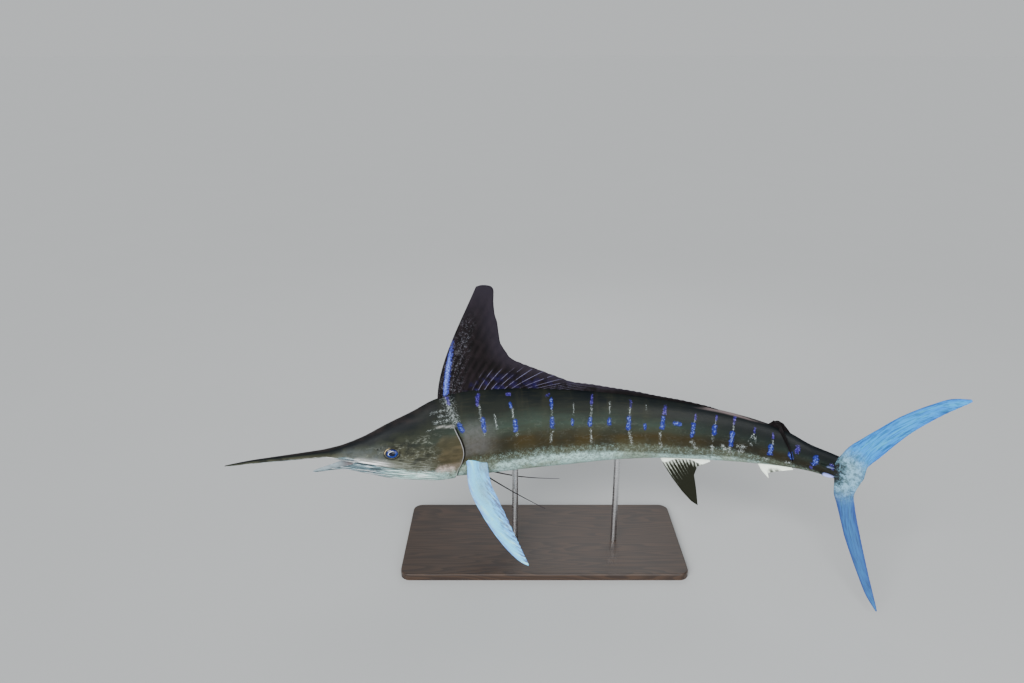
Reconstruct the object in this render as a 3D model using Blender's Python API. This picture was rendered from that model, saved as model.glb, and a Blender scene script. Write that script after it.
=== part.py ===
"""Striped marlin, a still life-size model on a plain display stand.

The fish is shaped straight first: x runs aft from the tip of the lower jaw, y to the fish's left and
z towards its back. Every point is then carried onto the curved line on which the fish swims.
World axes: +Z up, the head towards -X, the left side towards -Y. All sizes are in metres.
"""

import math

import bmesh
import bpy
import numpy as np
from mathutils import Vector

# Whole fish
FORK_LENGTH = 2.15
GAP = 0.0003
MIDDLE = 0.5 * FORK_LENGTH

# Turn of the body line: the head and the tail both swing towards the fish's left
TURN_AT = FORK_LENGTH * np.array((0.20, 0.30, 0.40, 0.50, 0.60, 0.70, 0.80, 0.90, 1.00))
TURN_DEGREES = np.array((-13.7, -10.7, -4.7, 2.8, 12.3, 22.3, 31.8, 39.3, 43.8))
NOSE_DOWN = math.radians(2.5)
TAIL_DROOP = math.radians(9.0)
DROOP_FROM = 0.90 * FORK_LENGTH
AXIS_HEIGHT = 0.55
AXIS_SHIFT = 0.15

# Outline of the straight body: distance aft, back, belly, half width
BODY = np.array((
    (0.00, 0.0250, -0.0620, 0.0160),
    (0.10, 0.0320, -0.0635, 0.0260),
    (0.20, 0.0560, -0.0970, 0.0440),
    (0.30, 0.0960, -0.1360, 0.0600),
    (0.40, 0.1340, -0.1600, 0.0720),
    (0.50, 0.1750, -0.1770, 0.0800),
    (0.62, 0.1930, -0.1750, 0.0870),
    (0.80, 0.1840, -0.1720, 0.0900),
    (1.00, 0.1650, -0.1640, 0.0860),
    (1.20, 0.1460, -0.1430, 0.0780),
    (1.40, 0.1290, -0.1210, 0.0660),
    (1.60, 0.1150, -0.1000, 0.0520),
    (1.75, 0.1020, -0.0790, 0.0400),
    (1.87, 0.0820, -0.0610, 0.0310),
    (1.97, 0.0520, -0.0500, 0.0240),
    (2.06, 0.0450, -0.0450, 0.0185),
))
# Roundness of the upper half of a section: 2 is an ellipse, less is a sharper ridge
RIDGE = np.array(((0.00, 2.0), (0.25, 2.0), (0.50, 1.6), (0.65, 1.6), (0.90, 1.8), (2.06, 2.0)))
BELLY_ROUNDNESS = 2.1
WIDEST_LEVEL = 0.45

# Outline of the bill: distance aft, top, underside, half width
BILL = np.array((
    (-0.315, 0.0212, 0.0172, 0.0020),
    (-0.290, 0.0235, 0.0160, 0.0038),
    (-0.200, 0.0275, 0.0125, 0.0080),
    (-0.080, 0.0268, 0.0045, 0.0125),
    (0.040, 0.0265, -0.0030, 0.0180),
    (0.150, 0.0400, -0.0250, 0.0340),
))
BILL_END = 0.10
BILL_BLEND = (0.04, 0.14)
BILL_RIM_ANGLE = math.radians(120.0)

# Mouth line on the upper jaw: distance aft, height
MOUTH = np.array((
    (0.00, -0.0020),
    (0.12, -0.0185),
    (0.16, -0.0280),
    (0.20, -0.0380),
    (0.25, -0.0520),
    (0.30, -0.0700),
    (0.335, -0.0800),
))
MOUTH_CORNER = 0.335
MOUTH_GAPE = 0.054
GAPE_END = 0.160
LIP_RISE = 0.0022
LIP_BAND = 0.16
LIP_FULL_AT = 0.15
PALATE_RISE = 0.004
JAW_TROUGH = 0.006
GAPE_POWER = 0.62
JAW_TIP_WIDTH = 0.35
JAW_TIP_WIDENS = (-0.01, 0.04)

# Ends of the lengths of the body
HEAD_END = 0.535
TRUNK_SPLIT = 1.05
STALK_START = 1.65
STALK_END = 2.06

# Gill cover: level from the back (0) to the belly (1), front edge, rear edge
COVER = np.array((
    (0.33, 0.512, 0.556),
    (0.38, 0.482, 0.566),
    (0.45, 0.462, 0.579),
    (0.54, 0.458, 0.585),
    (0.62, 0.462, 0.576),
    (0.72, 0.450, 0.558),
    (0.86, 0.420, 0.550),
    (0.995, 0.400, 0.545),
))
COVER_THICKNESS = 0.0055
COVER_PROUD = 0.0012
SLIT_WIDTH = 0.003
SHOULDER_DROP = 0.008
SHOULDER_END = 0.66
SHOULDER_LEVELS = (0.25, 0.40)
COVER_ROWS = 13
COVER_COLUMNS = 7
COVER_CLEAR = 0.02

# Eye and orbit
EYE_AT = 0.306
EYE_LEVEL = 0.425
EYE_LONG = 0.031
EYE_TALL = 0.024
EYE_DEEP = 0.016
EYE_SUNK = 0.010
RIM_LONG = 0.0300
RIM_TALL = 0.0235
RIM_RADIUS = 0.0042
RIM_SUNK = 0.0014
EYE_SEGMENTS = 20
EYE_RINGS = 10

# Nostrils, a pair on each side ahead of the eye
NOSTRILS = ((0.254, 0.355, 0.0036), (0.266, 0.350, 0.0028))

# First dorsal fin: distance aft along the base and the edge point that the ray there reaches
CREST_START = 0.505
CREST_END = 0.80
CREST_EDGE = ((0.704, 0.616), (0.741, 0.609), (0.752, 0.590), (0.747, 0.505), (0.762, 0.420),
              (0.772, 0.362), (0.800, 0.315))
CREST_BOW = 0.030
CREST_THICKNESS = (0.0080, 0.0018)
CREST_FRONT_EXTRA = 0.002
REAR_HEIGHT = np.array((
    (0.80, 0.133),
    (0.85, 0.100),
    (0.90, 0.080),
    (0.97, 0.058),
    (1.05, 0.036),
    (1.15, 0.024),
    (1.25, 0.017),
    (1.40, 0.009),
    (1.60, 0.006),
))
REAR_END = 1.60
REAR_RAKE = 0.35
REAR_THICKNESS = (0.0060, 0.0015)
REAR_LEAN_OVER = 0.1
CREST_ROWS = 9
REAR_ROWS = 4
BASE_PARTS = 3

# Fin rays: how far a ray stands up from the membrane on each face, at the root and at the edge
RAY_HEIGHT = (0.0016, 0.0005)

# Stand
BASE_LENGTH = 1.15
BASE_WIDTH = 0.52
BASE_HEIGHT = 0.028
BASE_CORNER = 0.04
BASE_EDGE = 0.004
ROD_RADIUS = 0.0125
ROD_SUNK = 0.012
ROD_STATIONS = (0.80, 1.22)
ROD_SIDES = 24
SOCKET_DEPTH = 0.1

HALF_RING = 21
RIM_INDEX = 14
TRUNK_HALF_RING = 19
LEVEL_SAMPLES = 401


def smooth(x, table):
    """Value at x on a monotone cubic curve through the rows (place, value) of the table."""
    places, values = np.asarray(table, float).T
    spans = np.diff(places)
    slopes = np.diff(values) / spans
    tangents = np.concatenate((slopes[:1], np.zeros(len(slopes) - 1), slopes[-1:]))
    same_way = slopes[:-1] * slopes[1:] > 0
    before = 2 * spans[1:] + spans[:-1]
    after = spans[1:] + 2 * spans[:-1]
    ahead = np.where(same_way, slopes[:-1], 1.0)
    behind = np.where(same_way, slopes[1:], 1.0)
    tangents[1:-1] = np.where(same_way, (before + after) / (before / ahead + after / behind), 0.0)
    x = np.clip(np.asarray(x, float), places[0], places[-1])
    i = np.clip(np.searchsorted(places, x) - 1, 0, len(spans) - 1)
    t = (x - places[i]) / spans[i]
    start = (1 + 2 * t) * (1 - t) ** 2 * values[i] + t * (1 - t) ** 2 * spans[i] * tangents[i]
    end = t * t * (3 - 2 * t) * values[i + 1] + t * t * (t - 1) * spans[i] * tangents[i + 1]
    return start + end


def ease(value):
    """Smooth step from 0 to 1."""
    value = np.clip(value, 0.0, 1.0)
    return value * value * (3 - 2 * value)


def body_line():
    """Fine table of the curved body line: distance aft, turn, droop and position."""
    places = np.linspace(-0.25 * FORK_LENGTH, 1.25 * FORK_LENGTH, 3001)
    step = places[1] - places[0]
    ends = ((-FORK_LENGTH, TURN_DEGREES[0]), *zip(TURN_AT, TURN_DEGREES), (2 * FORK_LENGTH, TURN_DEGREES[-1]))
    turn = np.radians(smooth(places, ends))
    droop = TAIL_DROOP * np.clip((places - DROOP_FROM) / (FORK_LENGTH - DROOP_FROM), 0.0, 1.0)
    line = np.stack((np.cumsum(np.cos(turn) * np.cos(droop)),
                     -np.cumsum(np.sin(turn) * np.cos(droop)),
                     -np.cumsum(np.sin(droop)))) * step
    middle = np.array([np.interp(MIDDLE, places, row) for row in line])
    return places, turn, droop, line - middle[:, None]


LINE = body_line()


def swim(points):
    """Carry points of the straight fish onto the curved body line, above the stand."""
    points = np.asarray(points, float)
    x, y, z = np.moveaxis(points, -1, 0)
    places, turns, droops, line = LINE
    turn = np.interp(x, places, turns)
    droop = np.interp(x, places, droops)
    along, across, up = (np.interp(x, places, row) for row in line)
    along = along - np.sin(turn) * y + np.cos(turn) * np.sin(droop) * z
    across = across - np.cos(turn) * y - np.sin(turn) * np.sin(droop) * z
    up = up + np.cos(droop) * z
    tilt_cos = math.cos(NOSE_DOWN)
    tilt_sin = math.sin(NOSE_DOWN)
    return np.stack((tilt_cos * along - tilt_sin * up + AXIS_SHIFT,
                     across,
                     tilt_sin * along + tilt_cos * up + AXIS_HEIGHT), axis=-1)


def flank(x, level):
    """Half width and height of the body's surface at x, level 0 on the back and 1 on the belly."""
    x, level = np.broadcast_arrays(np.asarray(x, float), np.asarray(level, float))
    back = smooth(x, BODY[:, (0, 1)])
    belly = smooth(x, BODY[:, (0, 2)])
    width = smooth(x, BODY[:, (0, 3)])
    middle = belly + (back - belly) * WIDEST_LEVEL
    angle = level * math.pi
    across = np.sin(angle)
    up = np.cos(angle)
    power = 2 / np.where(up > 0, smooth(x, RIDGE), BELLY_ROUNDNESS)
    reach = np.where(up > 0, back - middle, middle - belly)
    y = width * np.sign(across) * np.abs(across) ** power
    z = middle + reach * np.sign(up) * np.abs(up) ** power
    return y, z


def on_flank(x, level, side, lift=0.0):
    """Points of the straight fish on its flank, lifted off the surface along its normal."""
    x, level = np.broadcast_arrays(np.asarray(x, float), np.asarray(level, float))
    reach = 1e-4

    def place(at, height):
        y, z = flank(at, height)
        return np.stack((at, y, z), axis=-1)

    along = place(x + reach, level) - place(x - reach, level)
    down = place(x, np.minimum(level + reach, 1.0)) - place(x, np.maximum(level - reach, 0.0))
    normal = np.cross(along, down)
    normal /= np.linalg.norm(normal, axis=-1, keepdims=True)
    normal *= np.where(normal[..., 1:2] < 0, -1.0, 1.0)
    points = place(x, level) + normal * lift
    return points * np.array((1.0, side, 1.0)), normal * np.array((1.0, side, 1.0))


def clear_scene():
    """Remove the objects that the scene starts with."""
    for item in list(bpy.data.objects):
        bpy.data.objects.remove(item, do_unlink=True)


def new_collection(name):
    """Collection linked to the scene."""
    group = bpy.data.collections.new(name)
    bpy.context.scene.collection.children.link(group)
    return group


def new_material(name, colour, roughness, metallic=0.0):
    """Principled material of one colour."""
    material = bpy.data.materials.new(name)
    material.use_nodes = True
    shader = material.node_tree.nodes["Principled BSDF"]
    shader.inputs["Base Color"].default_value = (*colour, 1.0)
    shader.inputs["Roughness"].default_value = roughness
    shader.inputs["Metallic"].default_value = metallic
    return material


def mesh_object(name, points, faces, group):
    """Closed mesh object with its faces pointing outwards."""
    mesh = bpy.data.meshes.new(name)
    mesh.from_pydata([tuple(map(float, point)) for point in points], [], faces)
    shell = bmesh.new()
    shell.from_mesh(mesh)
    bmesh.ops.recalc_face_normals(shell, faces=shell.faces)
    shell.to_mesh(mesh)
    shell.free()
    item = bpy.data.objects.new(name, mesh)
    group.objects.link(item)
    return item


def split_quad(a, b, c, d):
    """Two triangles of a quad, cut along a to c."""
    return (a, b, c), (a, c, d)


def tube_faces(rows, columns):
    """Triangles of a tube of rings, with a fan to one more point at each end."""
    faces = []
    for row in range(rows - 1):
        for column in range(columns):
            beside = (column + 1) % columns
            faces += split_quad(row * columns + column, row * columns + beside,
                                (row + 1) * columns + beside, (row + 1) * columns + column)
    first = rows * columns
    last = first + 1
    top = (rows - 1) * columns
    for column in range(columns):
        beside = (column + 1) % columns
        faces.append((first, beside, column))
        faces.append((last, top + column, top + beside))
    return faces


def loft(name, rings, group):
    """Closed body through rings of points, capped flat at both ends."""
    rings = np.asarray(rings, float)
    rows, columns = rings.shape[:2]
    ends = np.stack((rings[0].mean(axis=0), rings[-1].mean(axis=0)))
    points = np.concatenate((rings.reshape(-1, 3), ends))
    return mesh_object(name, points, tube_faces(rows, columns), group)


def sheet_faces(rows, columns):
    """Triangles of a thin sheet: two grids split alike, and the rim that joins them."""
    faces = []
    other = rows * columns
    for row in range(rows - 1):
        for column in range(columns - 1):
            corner = row * columns + column
            for one, two, three in split_quad(corner, corner + 1, corner + columns + 1, corner + columns):
                faces.append((one, two, three))
                faces.append((other + three, other + two, other + one))
    border = [row * columns for row in range(rows)]
    border += [(rows - 1) * columns + column for column in range(1, columns)]
    border += [row * columns + columns - 1 for row in range(rows - 2, -1, -1)]
    border += list(range(columns - 2, 0, -1))
    for here, there in zip(border, border[1:] + border[:1]):
        faces += split_quad(here, there, other + there, other + here)
    return faces


def sheet(name, near, far, group):
    """Closed thin body between two grids of points."""
    near = np.asarray(near, float)
    rows, columns = near.shape[:2]
    points = np.concatenate((near.reshape(-1, 3), np.asarray(far, float).reshape(-1, 3)))
    return mesh_object(name, points, sheet_faces(rows, columns), group)


def carry(item):
    """Move a finished straight shape onto the curved body line, which mirrors it in Y."""
    count = len(item.data.vertices)
    points = np.empty(count * 3)
    item.data.vertices.foreach_get("co", points)
    item.data.vertices.foreach_set("co", swim(points.reshape(-1, 3)).ravel())
    item.data.flip_normals()
    item.data.update()
    return item


def mirrored_ring(x, y, z):
    """Full ring of a section from its half contour, which runs from the back to the belly."""
    left = np.stack((np.full(len(y), x), y, z), axis=-1)
    right = left[-2:0:-1] * np.array((1.0, -1.0, 1.0))
    return np.concatenate((left, right))


def lip_swell(place, rim):
    """Rise of the lip, highest at the rim and gone a band away from it."""
    return LIP_RISE * ease(1 - np.abs(place - rim) / LIP_BAND)


def upper_contour(x):
    """Half contour of the bill and head: the outer side down to the mouth line, then the underside."""
    outer = np.linspace(0.0, 1.0, RIM_INDEX + 1)
    inner = np.linspace(0.0, 1.0, HALF_RING - RIM_INDEX)[1:]
    at = min(max(x, 0.0), MOUTH_CORNER)
    levels = np.linspace(0.0, 1.0, LEVEL_SAMPLES)
    heights = flank(at, levels)[1]
    rim = np.interp(smooth(at, MOUTH), heights[::-1], levels[::-1])
    level = rim * outer
    y, z = flank(max(x, 0.0), level)
    if x <= MOUTH_CORNER:
        y = y + lip_swell(level, rim) * ease(x / LIP_FULL_AT)
        under_y = y[-1] * (1 - inner)
        under_z = z[-1] + PALATE_RISE * np.sin(inner * math.pi / 2)
    else:
        under_y, under_z = flank(x, rim + (1 - rim) * inner)
    y = np.concatenate((y, under_y))
    z = np.concatenate((z, under_z))
    share = ease((x - BILL_BLEND[0]) / (BILL_BLEND[1] - BILL_BLEND[0]))
    if share < 1:
        top, under, width = (smooth(x, BILL[:, (0, row)]) for row in (1, 2, 3))
        angle = np.concatenate((outer * BILL_RIM_ANGLE, BILL_RIM_ANGLE + (math.pi - BILL_RIM_ANGLE) * inner))
        y = share * y + (1 - share) * width * np.sin(angle)
        z = share * z + (1 - share) * ((top + under) / 2 + (top - under) / 2 * np.cos(angle))
    y[0] = 0.0
    y[-1] = 0.0
    return y, z


def jaw_contour(x):
    """Half contour of the lower jaw: the trough on top, the rim, then the outer side to the throat."""
    opening = MOUTH_GAPE * np.clip(1 - x / GAPE_END, 0.0, 1.0) ** GAPE_POWER
    rim_height = upper_contour(x)[1][RIM_INDEX:].min() - 2 * GAP - opening
    levels = np.linspace(0.0, 1.0, LEVEL_SAMPLES)
    heights = flank(x, levels)[1]
    rim = np.interp(rim_height, heights[::-1], levels[::-1])
    outer = np.linspace(rim, 1.0, 10)
    y, z = flank(x, outer)
    y = y + lip_swell(outer, rim) * ease(x / LIP_FULL_AT)
    trough = np.linspace(1.0, 0.0, 6)[1:-1]
    start, full = JAW_TIP_WIDENS
    width = JAW_TIP_WIDTH + (1 - JAW_TIP_WIDTH) * ease((x - start) / (full - start))
    inner_y = np.concatenate(((0.0,), y[0] * trough[::-1]))
    inner_z = z[0] - JAW_TROUGH * width * np.cos(inner_y / y[0] * math.pi / 2)
    y = np.concatenate((inner_y, y)) * width
    z = np.concatenate((inner_z, z))
    y[-1] = 0.0
    return y, z


def body_stations(start, end, spacing):
    """Places of the rings between start and end."""
    return np.linspace(start, end, max(2, round((end - start) / spacing) + 1))


BILL_STATIONS = np.concatenate(((-0.315, -0.311, -0.303, -0.285), body_stations(-0.25, 0.0, 0.05),
                                body_stations(0.0, BILL_END, 0.02)[1:]))
JAW_STATIONS = np.concatenate(((0.0, 0.008), body_stations(0.02, 0.10, 0.02),
                               body_stations(0.115, MOUTH_CORNER, 0.02)))
FACE_STATIONS = np.concatenate(((BILL_END,), JAW_STATIONS[JAW_STATIONS > BILL_END + 0.001]))
CHEEK_STATIONS = np.concatenate(((MOUTH_CORNER + GAP,), body_stations(0.355, HEAD_END, 0.025)))
TRUNK_FRONT_STATIONS = body_stations(HEAD_END, TRUNK_SPLIT, 0.04)
TRUNK_REAR_STATIONS = body_stations(TRUNK_SPLIT, STALK_START, 0.05)
STALK_STATIONS = body_stations(STALK_START, STALK_END, 0.04)


def inset_ends(stations, front, rear):
    """The same places with the first and the last drawn in to leave half a gap at a joint."""
    stations = stations.copy()
    stations[0] += front * GAP / 2
    stations[-1] -= rear * GAP / 2
    return stations


def trunk_ring(x, count):
    """Ring of the trunk, drawn in behind the gill covers where the shoulder lies lower."""
    level = np.linspace(0.0, 1.0, count)
    y, z = flank(x, level)
    drop = SHOULDER_DROP * (1 - ease((x - HEAD_END) / (SHOULDER_END - HEAD_END)))
    above, below = SHOULDER_LEVELS
    drop = drop * ease((level - above) / (below - above))
    inward = np.stack((-y, -(z - z.mean())), axis=-1)
    inward /= np.linalg.norm(inward, axis=-1, keepdims=True)
    y = y + inward[:, 0] * drop
    z = z + inward[:, 1] * drop
    y[0] = 0.0
    y[-1] = 0.0
    return mirrored_ring(x, y, z)


def make_bill(group):
    """Round tapering bill, up to where it widens into the face."""
    rings = [mirrored_ring(x, *upper_contour(x)) for x in inset_ends(BILL_STATIONS, 0, 1)]
    return loft("bill", rings, group)


def make_lower_jaw(group):
    """Lower jaw with its rim and trough, a little open at the front."""
    rings = [mirrored_ring(x, *jaw_contour(x)) for x in inset_ends(JAW_STATIONS, 0, 2)]
    return loft("lower_jaw", rings, group)


def ellipsoid(name, at, level, side, size, lift, group,
              segments=EYE_SEGMENTS, rings=EYE_RINGS):
    """Closed flattened ball on the flank: long along the fish, tall across it, deep along the normal."""
    place, normal = on_flank(at, level, side, lift)
    bpy.ops.mesh.primitive_uv_sphere_add(segments=segments, ring_count=rings, radius=1.0)
    item = bpy.context.object
    item.name = name
    points = np.empty(len(item.data.vertices) * 3)
    item.data.vertices.foreach_get("co", points)
    points = points.reshape(-1, 3)
    outward = Vector(normal)
    along = Vector((1.0, 0.0, 0.0))
    along = (along - outward * along.dot(outward)).normalized()
    tall = outward.cross(along)
    frame = np.stack((np.array(along) * size[0], np.array(tall) * size[1], np.array(outward) * size[2]))
    item.data.vertices.foreach_set("co", (points @ frame + place).ravel())
    move_to(item, group)
    return item


def move_to(item, group):
    """Keep the object in one collection only."""
    for owner in list(item.users_collection):
        owner.objects.unlink(item)
    group.objects.link(item)


def orbit_ring(side, group):
    """Raised rim of skin round the eye."""
    place, normal = on_flank(EYE_AT, EYE_LEVEL, side, -RIM_SUNK)
    outward = np.array(normal)
    along = np.array((1.0, 0.0, 0.0)) - outward * outward[0]
    along /= np.linalg.norm(along)
    tall = np.cross(outward, along)
    turns = np.linspace(0.0, 2 * math.pi, 25)[:-1]
    angles = np.linspace(0.0, 2 * math.pi, 9)[:-1]
    rows = len(turns)
    columns = len(angles)
    radial = np.cos(turns)[:, None] * along + np.sin(turns)[:, None] * tall
    middle = place + RIM_LONG * np.cos(turns)[:, None] * along + RIM_TALL * np.sin(turns)[:, None] * tall
    points = (middle[:, None] + RIM_RADIUS * (np.cos(angles)[None, :, None] * radial[:, None]
              + np.sin(angles)[None, :, None] * outward))
    faces = []
    for row in range(rows):
        for column in range(columns):
            after = (row + 1) % rows
            beside = (column + 1) % columns
            faces += split_quad(row * columns + column, row * columns + beside,
                                after * columns + beside, after * columns + column)
    return mesh_object("orbit_ring", points.reshape(-1, 3), faces, group)


def combine(item, others, operation):
    """Join the closed pieces to the item, or cut them from it, and remove them."""
    for other in others:
        change = item.modifiers.new("combine", "BOOLEAN")
        change.operation = operation
        change.solver = "EXACT"
        change.object = other
        bpy.context.view_layer.update()
        shape = bpy.data.meshes.new_from_object(item.evaluated_get(bpy.context.evaluated_depsgraph_get()))
        item.modifiers.clear()
        item.data = shape
        bpy.data.objects.remove(other, do_unlink=True)
    keep_largest(item)
    return item


def keep_largest(item):
    """Keep the largest closed surface of the mesh, in triangles."""
    shell = bmesh.new()
    shell.from_mesh(item.data)
    bmesh.ops.remove_doubles(shell, verts=shell.verts, dist=0.00001)
    bmesh.ops.dissolve_degenerate(shell, edges=shell.edges, dist=0.00001)
    bmesh.ops.triangulate(shell, faces=shell.faces)
    left = set(shell.faces)
    pieces = []
    while left:
        front = [left.pop()]
        piece = list(front)
        while front:
            face = front.pop()
            for edge in face.edges:
                for beside in edge.link_faces:
                    if beside in left:
                        left.remove(beside)
                        front.append(beside)
                        piece.append(beside)
        pieces.append(piece)
    pieces.sort(key=len)
    loose = [face for piece in pieces[:-1] for face in piece]
    bmesh.ops.delete(shell, geom=loose, context="FACES")
    bmesh.ops.delete(shell, geom=[vertex for vertex in shell.verts if not vertex.link_faces], context="VERTS")
    shell.to_mesh(item.data)
    shell.free()


def cover_grid(side, lift, spread, slit):
    """Grid of the gill cover on the flank: rows down the side, columns from the hinge to the free edge."""
    levels = np.concatenate(((COVER[0, 0] - spread,), np.linspace(0.36, 0.96, COVER_ROWS), (COVER[-1, 0],)))
    levels = np.concatenate((levels[:-1], (COVER[-1, 0] + spread * 2,))) if spread else levels
    clamped = np.clip(levels, COVER[0, 0], COVER[-1, 0])
    front = smooth(clamped, COVER[:, (0, 1)]) - spread
    rear = smooth(clamped, COVER[:, (0, 2)]) + spread + slit
    share = np.linspace(0.0, 1.0, COVER_COLUMNS)
    x = front[:, None] + (rear - front)[:, None] * share
    level = np.broadcast_to(np.minimum(levels, 1.0)[:, None], x.shape)
    points, _ = on_flank(x, level, side, lift)
    return points


def make_gill_cover(side, name, group):
    """Gill cover as its own flap, hinged at the cheek and free at the slit behind."""
    outer = cover_grid(side, COVER_PROUD, 0.0, 0.0)
    inner = cover_grid(side, -COVER_THICKNESS, 0.0, 0.0)
    return sheet(name, outer, inner, group)


def cover_cutter(side, group):
    """Room for the gill cover, with the slit behind its free edge."""
    outer = cover_grid(side, COVER_PROUD + COVER_CLEAR, GAP, SLIT_WIDTH)
    inner = cover_grid(side, -COVER_THICKNESS - GAP, GAP, SLIT_WIDTH)
    return sheet("cover_cutter", outer, inner, group)


def make_head(group, cutters):
    """Head with its lips, orbit rims, eye sockets, nostrils and the seats of the gill covers."""
    stations = np.concatenate((FACE_STATIONS, CHEEK_STATIONS))
    rings = [mirrored_ring(x, *upper_contour(x)) for x in inset_ends(stations, 1, 1)]
    head = loft("head", rings, group)
    combine(head, [orbit_ring(side, cutters) for side in (1, -1)], "UNION")
    room = [ellipsoid("socket", EYE_AT, EYE_LEVEL, side, (EYE_LONG + GAP, EYE_TALL + GAP, EYE_DEEP + GAP),
                      -EYE_SUNK, cutters) for side in (1, -1)]
    for at, level, radius in NOSTRILS:
        room += [ellipsoid("nostril", at, level, side, (radius * 1.3, radius, radius), 0.0, cutters, 10, 6)
                 for side in (1, -1)]
    room += [cover_cutter(side, cutters) for side in (1, -1)]
    return combine(head, room, "DIFFERENCE")


def make_trunk(name, stations, front, rear, group):
    """Length of the body between two flat joints."""
    return loft(name, [trunk_ring(x, TRUNK_HALF_RING) for x in inset_ends(stations, front, rear)], group)


def seat(x, y, sign, stations):
    """World points on the faceted back (sign 1) or belly (sign -1), one gap off its surface."""
    column = 1 if sign > 0 else 2
    heights = smooth(stations, BODY[:, (0, column)]) + sign * GAP
    index = np.clip(np.searchsorted(stations, x) - 1, 0, len(stations) - 2)
    share = (x - stations[index]) / (stations[index + 1] - stations[index])
    before = swim(np.stack((stations[index], y, heights[index]), axis=-1))
    after = swim(np.stack((stations[index + 1], y, heights[index + 1]), axis=-1))
    return before + (after - before) * share[..., None]


SPINE_STATIONS = np.unique(np.round(np.concatenate((
    CHEEK_STATIONS, TRUNK_FRONT_STATIONS, TRUNK_REAR_STATIONS, STALK_STATIONS)), 6))


def median_fin(name, points, thickness, sign, group):
    """Thin upright fin on the middle line; the first row of points is seated on the body."""
    half = thickness / 2
    near = points.copy()
    near[..., 1] += half
    far = points.copy()
    far[..., 1] -= half
    near_world = swim(near)
    far_world = swim(far)
    near_world[0] = seat(near[0, :, 0], near[0, :, 1], sign, SPINE_STATIONS)
    far_world[0] = seat(far[0, :, 0], far[0, :, 1], sign, SPINE_STATIONS)
    return sheet(name, near_world, far_world, group)


def fin_points(base, edge, bow, rows):
    """Grid of a fin: each column runs from its base point to its edge point, bowed forward."""
    share = np.linspace(0.0, 1.0, rows)[:, None, None]
    points = base[None] + (edge - base)[None] * share
    points[..., 0] -= bow[None] * 4 * share[..., 0] * (1 - share[..., 0])
    return points


def along_path(path, shares):
    """Points at shares of the length of a line through the path's points."""
    path = np.asarray(path, float)
    lengths = np.concatenate(((0.0,), np.cumsum(np.linalg.norm(np.diff(path, axis=0), axis=1))))
    rows = [np.interp(shares * lengths[-1], lengths, column) for column in path.T]
    return np.stack(rows, axis=-1)


def flat_points(x, z):
    """Points on the middle plane of the straight fish."""
    return np.stack((x, np.zeros_like(x), z), axis=-1)


def base_columns(start, end, parts):
    """Places of a fin's columns: every ring of the body under it, and equal parts between them."""
    inside = SPINE_STATIONS[(SPINE_STATIONS > start + 0.002) & (SPINE_STATIONS < end - 0.002)]
    marks = np.concatenate(((start,), inside, (end,)))
    steps = np.linspace(0.0, 1.0, parts + 1)[:-1]
    columns = (marks[:-1, None] + np.diff(marks)[:, None] * steps).ravel()
    return np.concatenate((columns, (end,)))


def rayed(thickness, rise):
    """Thickness of a fin with its rays: every second column stands up from the membrane."""
    relief = np.zeros(thickness.shape[1])
    relief[1:-1:2] = 2.0
    height = RAY_HEIGHT[0] + (RAY_HEIGHT[1] - RAY_HEIGHT[0]) * rise
    return thickness + relief[None] * height


def make_crest(group):
    """Tall front lobe of the first dorsal fin."""
    base_x = base_columns(CREST_START, CREST_END, BASE_PARTS)
    share = (base_x - CREST_START) / (CREST_END - CREST_START)
    edge = along_path(CREST_EDGE, share)
    base = flat_points(base_x, smooth(base_x, BODY[:, (0, 1)]))
    points = fin_points(base, flat_points(edge[:, 0], edge[:, 1]), CREST_BOW * (1 - share), CREST_ROWS)
    rise = np.linspace(0.0, 1.0, CREST_ROWS)[:, None]
    root, rim = CREST_THICKNESS
    thickness = root + (rim - root) * rise + CREST_FRONT_EXTRA * (share[None] < 0.02)
    return median_fin("dorsal_fin_crest", points, rayed(thickness, rise), 1, group)


def make_dorsal_rear(group):
    """Long low rear part of the first dorsal fin."""
    base_x = base_columns(CREST_END + GAP, REAR_END, BASE_PARTS)
    height = smooth(base_x, REAR_HEIGHT)
    back = smooth(base_x, BODY[:, (0, 1)])
    base = flat_points(base_x, back)
    lean = REAR_RAKE * height * ease((base_x - CREST_END) / REAR_LEAN_OVER)
    edge = flat_points(base_x + lean, back + height)
    points = fin_points(base, edge, np.zeros_like(base_x), REAR_ROWS)
    rise = np.linspace(0.0, 1.0, REAR_ROWS)[:, None]
    root, rim = REAR_THICKNESS
    thickness = (root + (rim - root) * rise) * np.ones_like(base_x)
    return median_fin("dorsal_fin_rear", points, rayed(thickness, rise), 1, group)


def simple_fin(name, span, edge_path, rows, thickness, sign, group):
    """Small fin from its base line to the outline of its free edge."""
    start, end = span
    root, rim = thickness
    base_x = base_columns(start, end, BASE_PARTS)
    share = (base_x - start) / (end - start)
    column = 1 if sign > 0 else 2
    base = flat_points(base_x, smooth(base_x, BODY[:, (0, column)]))
    edge = along_path(edge_path, share)
    points = fin_points(base, flat_points(edge[:, 0], edge[:, 1]), np.zeros_like(base_x), rows)
    rise = np.linspace(0.0, 1.0, rows)[:, None]
    plain = (root - (root - rim) * rise) * np.ones_like(base_x)
    return median_fin(name, points, rayed(plain, rise), sign, group)


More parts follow.
